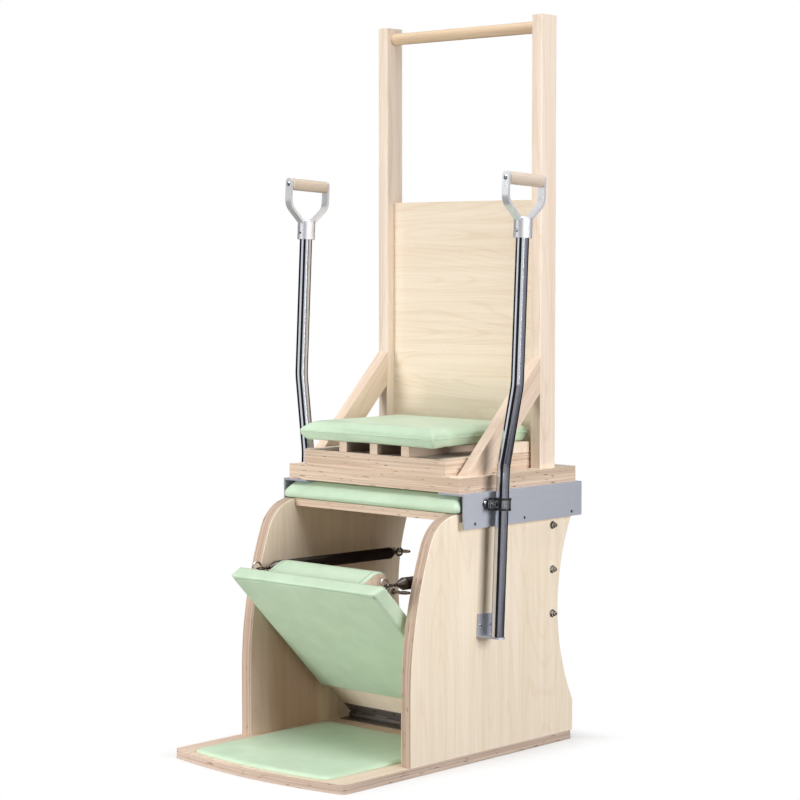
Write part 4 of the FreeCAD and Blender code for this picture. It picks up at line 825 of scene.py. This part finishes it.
def pedal_cushion():
    """Vinyl over the pedal: the flat face grows from its middle, an edge round and a wall run on to the rim.

    Rows: the outline at a growing share of its size, then insets r (1 - sin a) at heights r (1 - cos a), then
    the wall. The rim stops under the board at the hinge end, and at the board's back elsewhere. A wavering
    fold runs along the free end: it dents the face, and its line is painted darker as shade.
    """
    radius = pedal_edge_radius
    inner = pedal_outline(pedal_face, radius)
    middle = np.array([0.0, (pedal_pad_start + pedal_length) / 2])
    ends = pedal_outline(pedal_face, 0.0)
    at_hinge = ends[:, 1] < pedal_pad_start + pedal_corner_radius * 0.9
    rim = np.where(at_hinge, pedal_board_low, pedal_board_high) - pedal_rim_gap
    rows = []
    for share in np.concatenate([np.linspace(0.0, 0.88, 9), np.linspace(0.9, 0.995, 26)]):
        flat = middle + (inner - middle) * share
        rows.append(level_row(flat, pedal_face + pedal_crown * share ** 6))
    for angle in np.linspace(0, np.pi / 2, 8):
        n = pedal_face + pedal_crown + (radius - pedal_crown) * (1 - math.cos(angle))
        rows.append(level_row(pedal_outline(n, radius * (1 - math.sin(angle))), n))
    for share in np.linspace(0, 1, 8)[1:]:
        n = pedal_face + radius + (rim - pedal_face - radius) * share
        level = pedal_face + radius + (pedal_board_high - pedal_face - radius) * share
        rows.append(np.column_stack([pedal_outline(level, 0.0), n]))
    local = np.array(rows)
    x, s, n = local[..., 0], local[..., 1], local[..., 2]
    wave = sum(size * np.sin(rate * x + start) for size, rate, start in pedal_fold_waves)
    bow = pedal_fold_bow * (x / pedal_half_width) ** 4
    fold = pedal_length - pedal_fold_inset - bow + pedal_fold_waver * wave
    crease = bell(s - fold, pedal_fold_width) * (n < pedal_face + radius * 0.5)
    points = on_pedal(x, s, n + pedal_fold_depth * crease)
    faces = grid_faces(len(rows), points.shape[1], True)
    piece = make_piece("pedal_cushion", points, faces[:, ::-1], mint_vinyl)
    # Painted shade: the crease of the fold is darkened in the vinyl's colour
    painted(piece, "fold", pedal_fold_shade * crease)
    welded(piece)
    walled(piece, pedal_skin)
    vinyl_piece(piece, "pedal", 0.9, "pedal_pad")


def foot_bar_cushion():
    """Cover of the foot bar: its section, two leaning sides and a round top, carried across the pedal.

    At the seams near the ends, and at the ends, the section sinks by a narrow bell of the distance from them.
    The seams are painted darker as shade, and a line along the foot is painted as the shadow where the
    cover meets the pedal.
    """
    half_foot = foot_bar_foot_width / 2
    half_shoulder = foot_bar_shoulder_width / 2
    rise = foot_bar_height - foot_bar_shoulder_height
    top_radius = (half_shoulder ** 2 + rise ** 2) / (2 * rise)
    opening = math.asin(half_shoulder / top_radius)
    angle = np.linspace(-opening, opening, 25)
    arc = np.column_stack([top_radius * np.sin(angle), foot_bar_height - top_radius * (1 - np.cos(angle))])
    lean = np.linspace(0, 1, 10)[:-1, None]
    first = np.array([-half_foot, 0.0]) * (1 - lean) + arc[0] * lean
    section = np.concatenate([first, arc, (first * [-1, 1])[::-1]])
    ahead = np.gradient(section, axis=0)
    outward = np.column_stack([-ahead[:, 1], ahead[:, 0]])
    outward /= np.linalg.norm(outward, axis=1, keepdims=True)
    seam = foot_bar_half_length - foot_bar_seam_inset
    fine = np.linspace(-foot_bar_seam_zone, foot_bar_seam_zone, 13)
    across = np.unique(np.concatenate([np.linspace(-foot_bar_half_length, foot_bar_half_length, 33),
                                       seam + fine, -seam + fine]))
    at_seam = bell(np.abs(across) - seam, foot_bar_seam_width)
    at_end = bell(foot_bar_half_length - np.abs(across), foot_bar_end_width)
    sink = foot_bar_seam_depth * at_seam + foot_bar_end_depth * at_end
    middle = pedal_length - pedal_end_slope - foot_bar_end_setback - half_foot
    flat = section[None] - outward[None] * sink[:, None, None]
    points = on_pedal(across[:, None], middle + flat[..., 0], pedal_board_high + flat[..., 1])
    piece = make_piece("foot_bar_cushion", points, grid_faces(len(across), len(section), False), mint_vinyl)
    # Painted shade in the seams and painted shadow along the foot, for the vinyl to darken
    at_foot = np.broadcast_to(bell(section[:, 1], foot_bar_foot_line), points.shape[:2])
    painted(piece, "fold", np.maximum(foot_bar_seam_shade * at_seam[:, None], foot_bar_foot_shade * at_foot))
    walled(piece, foot_bar_skin)
    vinyl_piece(piece, "pedal", 0.9, "foot_bar_cover")


# Floor pad

def floor_cushion():
    """Thin standing pad: its front edge is concentric with the base's bowed one, its border is bevelled.

    Rows: the outline at a growing share of its size on top, then down the bevel, then the flat underside.
    """
    base_low, base_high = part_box("base_board")
    low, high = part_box("floor_pad")
    half_base = (base_high.x - base_low.x) / 2
    bow = (half_base ** 2 + base_front_bow ** 2) / (2 * base_front_bow)
    centre = base_low.y + bow
    thickness = high.z - low.z

    def outline(inset):
        ring = rounded_rectangle(low.x + inset, high.x - inset, 0.0, 1.0, floor_pad_corner, 44, 9)
        front = centre - np.sqrt((bow - floor_pad_front_margin - inset) ** 2 - ring[:, 0] ** 2)
        return np.column_stack([ring[:, 0], front + (high.y - inset - front) * ring[:, 1]])

    middle = np.array([0.0, (low.y + high.y) / 2])
    top = outline(floor_pad_bevel * floor_pad_border[0][1])
    under = outline(floor_pad_bevel * floor_pad_border[-1][1])
    rows = []
    for share in (0.0, 0.25, 0.5, 0.75, 0.9, 0.97):
        rows.append(level_row(middle + (top - middle) * share, high.z - floor_pad_crown * share ** 4))
    for drop, inset in floor_pad_border:
        rows.append(level_row(outline(floor_pad_bevel * inset), high.z - thickness * drop))
    for share in (0.6, 0.0):
        rows.append(level_row(middle + (under - middle) * share, low.z))
    points = np.array(rows)
    faces = grid_faces(len(rows), points.shape[1], True)
    piece = make_piece("floor_cushion", points, faces[:, ::-1], mint_vinyl)
    welded(piece)
    vinyl_piece(piece, "chair_frame", 0.9, "floor_pad")


# Springs

def close_coil(side):
    """Close-wound spring between its two caps: a helix about the line of the spring's own slide joint.

    After t turns the wire is at start + pitch t along the line and radius (cos 2 pi t, sin 2 pi t) across.
    """
    joints = {joint["name"]: joint for joint in frame["joints"]}
    pivot = np.array(joints[side + "_spring_swing"]["pos_m"])
    axis = np.array(joints[side + "_spring_stretch"]["axis"])
    axis /= np.linalg.norm(axis)
    reach = (corners_of(frame["nodes"][side + "_spring"].data) - pivot) @ axis
    start = reach.min() + spring_wire
    span = reach.max() - reach.min() - 2 * spring_wire
    turns = round(span / spring_pitch)
    count = np.linspace(0, turns, turns * spring_points_per_turn + 1)
    radius = spring_outer_radius - spring_wire
    across = np.array(along_x)
    upward = np.cross(axis, across)
    turn = 2 * np.pi * count
    path = pivot + (start + span * count / turns)[:, None] * axis
    path = path + radius * (np.cos(turn)[:, None] * across + np.sin(turn)[:, None] * upward)
    coil = tube(side + "_close_coil", path, spring_wire, spring_sides, spring_metal, False)
    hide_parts(side + "_spring")
    (pivot + axis * start).tolist()
    (pivot + axis * (start + span)).tolist()
    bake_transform(coil)


# Studio

def floor():
    """Pale floor that fades to white away from the base; shiny surfaces see it dark."""
    paint = Finish("studio floor", Roughness=0.8, Specular_IOR_Level=0.1)
    tree = paint.tree
    place = paint.place()
    watched = paint.node("LightPath", output="Is Camera Ray")
    behind = paint.ramp(paint.along(place, along_y), floor_dark_start, floor_dark_full)
    bounce = paint.mix(behind, floor_bounce_front, floor_bounce_rear)
    bounce = paint.mix(paint.node("LightPath", output="Is Glossy Ray"), bounce, floor_glossy)
    paint.feed(Base_Color=paint.mix(watched, bounce, floor_white))
    low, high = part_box("base_board")
    off_x = abs(paint.along(place, along_x) - (low.x + high.x) / 2) - (high.x - low.x) / 2
    off_y = abs(paint.along(place, along_y) - (low.y + high.y) / 2) - (high.y - low.y) / 2
    share = watched * paint.ramp(off_x.top(off_y), 0.0, floor_shadow_width, floor_shadow_share, 1.0)
    glow = tree.nodes.new("ShaderNodeEmission")
    blend = tree.nodes.new("ShaderNodeMixShader")
    plug(tree, blend.inputs[0], share)
    tree.links.new(paint.shader.outputs[0], blend.inputs[1])
    tree.links.new(glow.outputs[0], blend.inputs[2])
    tree.links.new(blend.outputs[0], tree.nodes["Material Output"].inputs["Surface"])
    sides = ((-1, -1), (1, -1), (1, 1), (-1, 1))
    corners = [(x * floor_reach, y * floor_reach, floor_drop) for x, y in sides]
    plane = make_piece("studio_floor", corners, [(0, 1, 2, 3)], paint.material)


def backdrop():
    """White world: its light is set apart from the white that the camera and shiny surfaces see."""
    world = bpy.data.worlds.new("studio")
    bpy.context.scene.world = world
    world.use_nodes = True
    tree = world.node_tree
    path = tree.nodes.new("ShaderNodeLightPath")
    seen = Socket(tree, path.outputs["Is Camera Ray"]).top(Socket(tree, path.outputs["Is Glossy Ray"]))
    seen = seen.top(Socket(tree, path.outputs["Is Transmission Ray"]))
    light = tree.nodes["Background"]
    light.inputs["Strength"].default_value = ambient_light
    light.inputs["Color"].default_value = pure_white
    white = tree.nodes.new("ShaderNodeBackground")
    white.inputs["Color"].default_value = pure_white
    blend = tree.nodes.new("ShaderNodeMixShader")
    plug(tree, blend.inputs[0], seen)
    tree.links.new(light.outputs[0], blend.inputs[1])
    tree.links.new(white.outputs[0], blend.inputs[2])
    tree.links.new(blend.outputs[0], tree.nodes["World Output"].inputs["Surface"])


def aimed(holder, place, target):
    """Put an object at a place, its -Z towards a target."""
    way = np.array(target) - np.array(place)
    holder.location = place
    tilt = math.atan2(math.hypot(way[0], way[1]), -way[2])
    holder.rotation_euler = (tilt, 0.0, math.atan2(-way[0], way[1]))


def soft_light(name, place, target, size, power):
    """Square softbox."""
    lamp = bpy.data.lights.new(name, "AREA")
    lamp.shape = "SQUARE"
    lamp.size = size
    lamp.energy = power
    holder = bpy.data.objects.new(name, lamp)
    bpy.context.scene.collection.objects.link(holder)
    aimed(holder, place, target)
    return holder


def hide_from(piece, *rays):
    """Keep a studio piece out of some kinds of rays."""
    for ray in rays:
        setattr(piece, "visible_" + ray, False)


def drape(name, first, last, top, shade):
    """Studio drape that only shiny surfaces see: an arc round the chair, between bearings from the camera."""
    angle = np.radians(camera_turn + np.linspace(first, last, 24))
    rim = np.stack([np.sin(angle), -np.cos(angle)], axis=-1) * drape_distance
    rows = np.array([level_row(rim, 0.0), level_row(rim, top)])
    cloth = Finish(name, Base_Color=(shade, shade, shade * 1.1, 1.0), Roughness=1.0, Specular_IOR_Level=0.0)
    panel = make_piece(name, rows, grid_faces(2, len(rim), False), cloth.material)
    hide_from(panel, "camera", "diffuse", "shadow", "transmission")


def shade_card():
    """Brown card beside the left panel, which only bounced light meets: it keeps green light off the wood."""
    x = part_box("left_side_panel")[1].x + card_gap
    corners = [(x, y, z) for y, z in card_corners]
    paint = Finish("shade card", Base_Color=(0.0, 0.0, 0.0, 1.0), Emission_Color=card_glow,
                   Emission_Strength=1.0)
    card = make_piece("shade_card", corners, [(0, 1, 2, 3)], paint.material)
    hide_from(card, "camera", "glossy", "shadow", "transmission")


def camera():
    """The photograph's camera."""
    lens = bpy.data.cameras.new("camera")
    lens.sensor_width = sensor_width
    lens.lens = focal_pixels / image_size * sensor_width
    lens.clip_start = 0.05
    lens.clip_end = 60.0
    holder = bpy.data.objects.new("camera", lens)
    holder.location = camera_place
    holder.rotation_euler = (math.radians(90.0 - camera_drop), 0.0, math.radians(camera_turn))
    bpy.context.scene.collection.objects.link(holder)
    bpy.context.scene.camera = holder


def studio():
    """Floor, backdrop, lamps, card, drapes and camera."""
    floor()
    backdrop()
    for name, place, aim, size, power, shown in lamps:
        lamp = soft_light(name, place, (0.0, 0.0, aim), size, power)
        lamp.visible_glossy = shown
    shade_card()
    for row in drapes:
        drape(*row)
    camera()
    bpy.context.scene.view_settings.view_transform = "Standard"


dress_frame()
cushion, seam_middle = upper_pad()
upper_welt(cushion, seam_middle)
lower_pad()
pedal_cushion()
foot_bar_cushion()
floor_cushion()
close_coil("left")
close_coil("right")
studio()
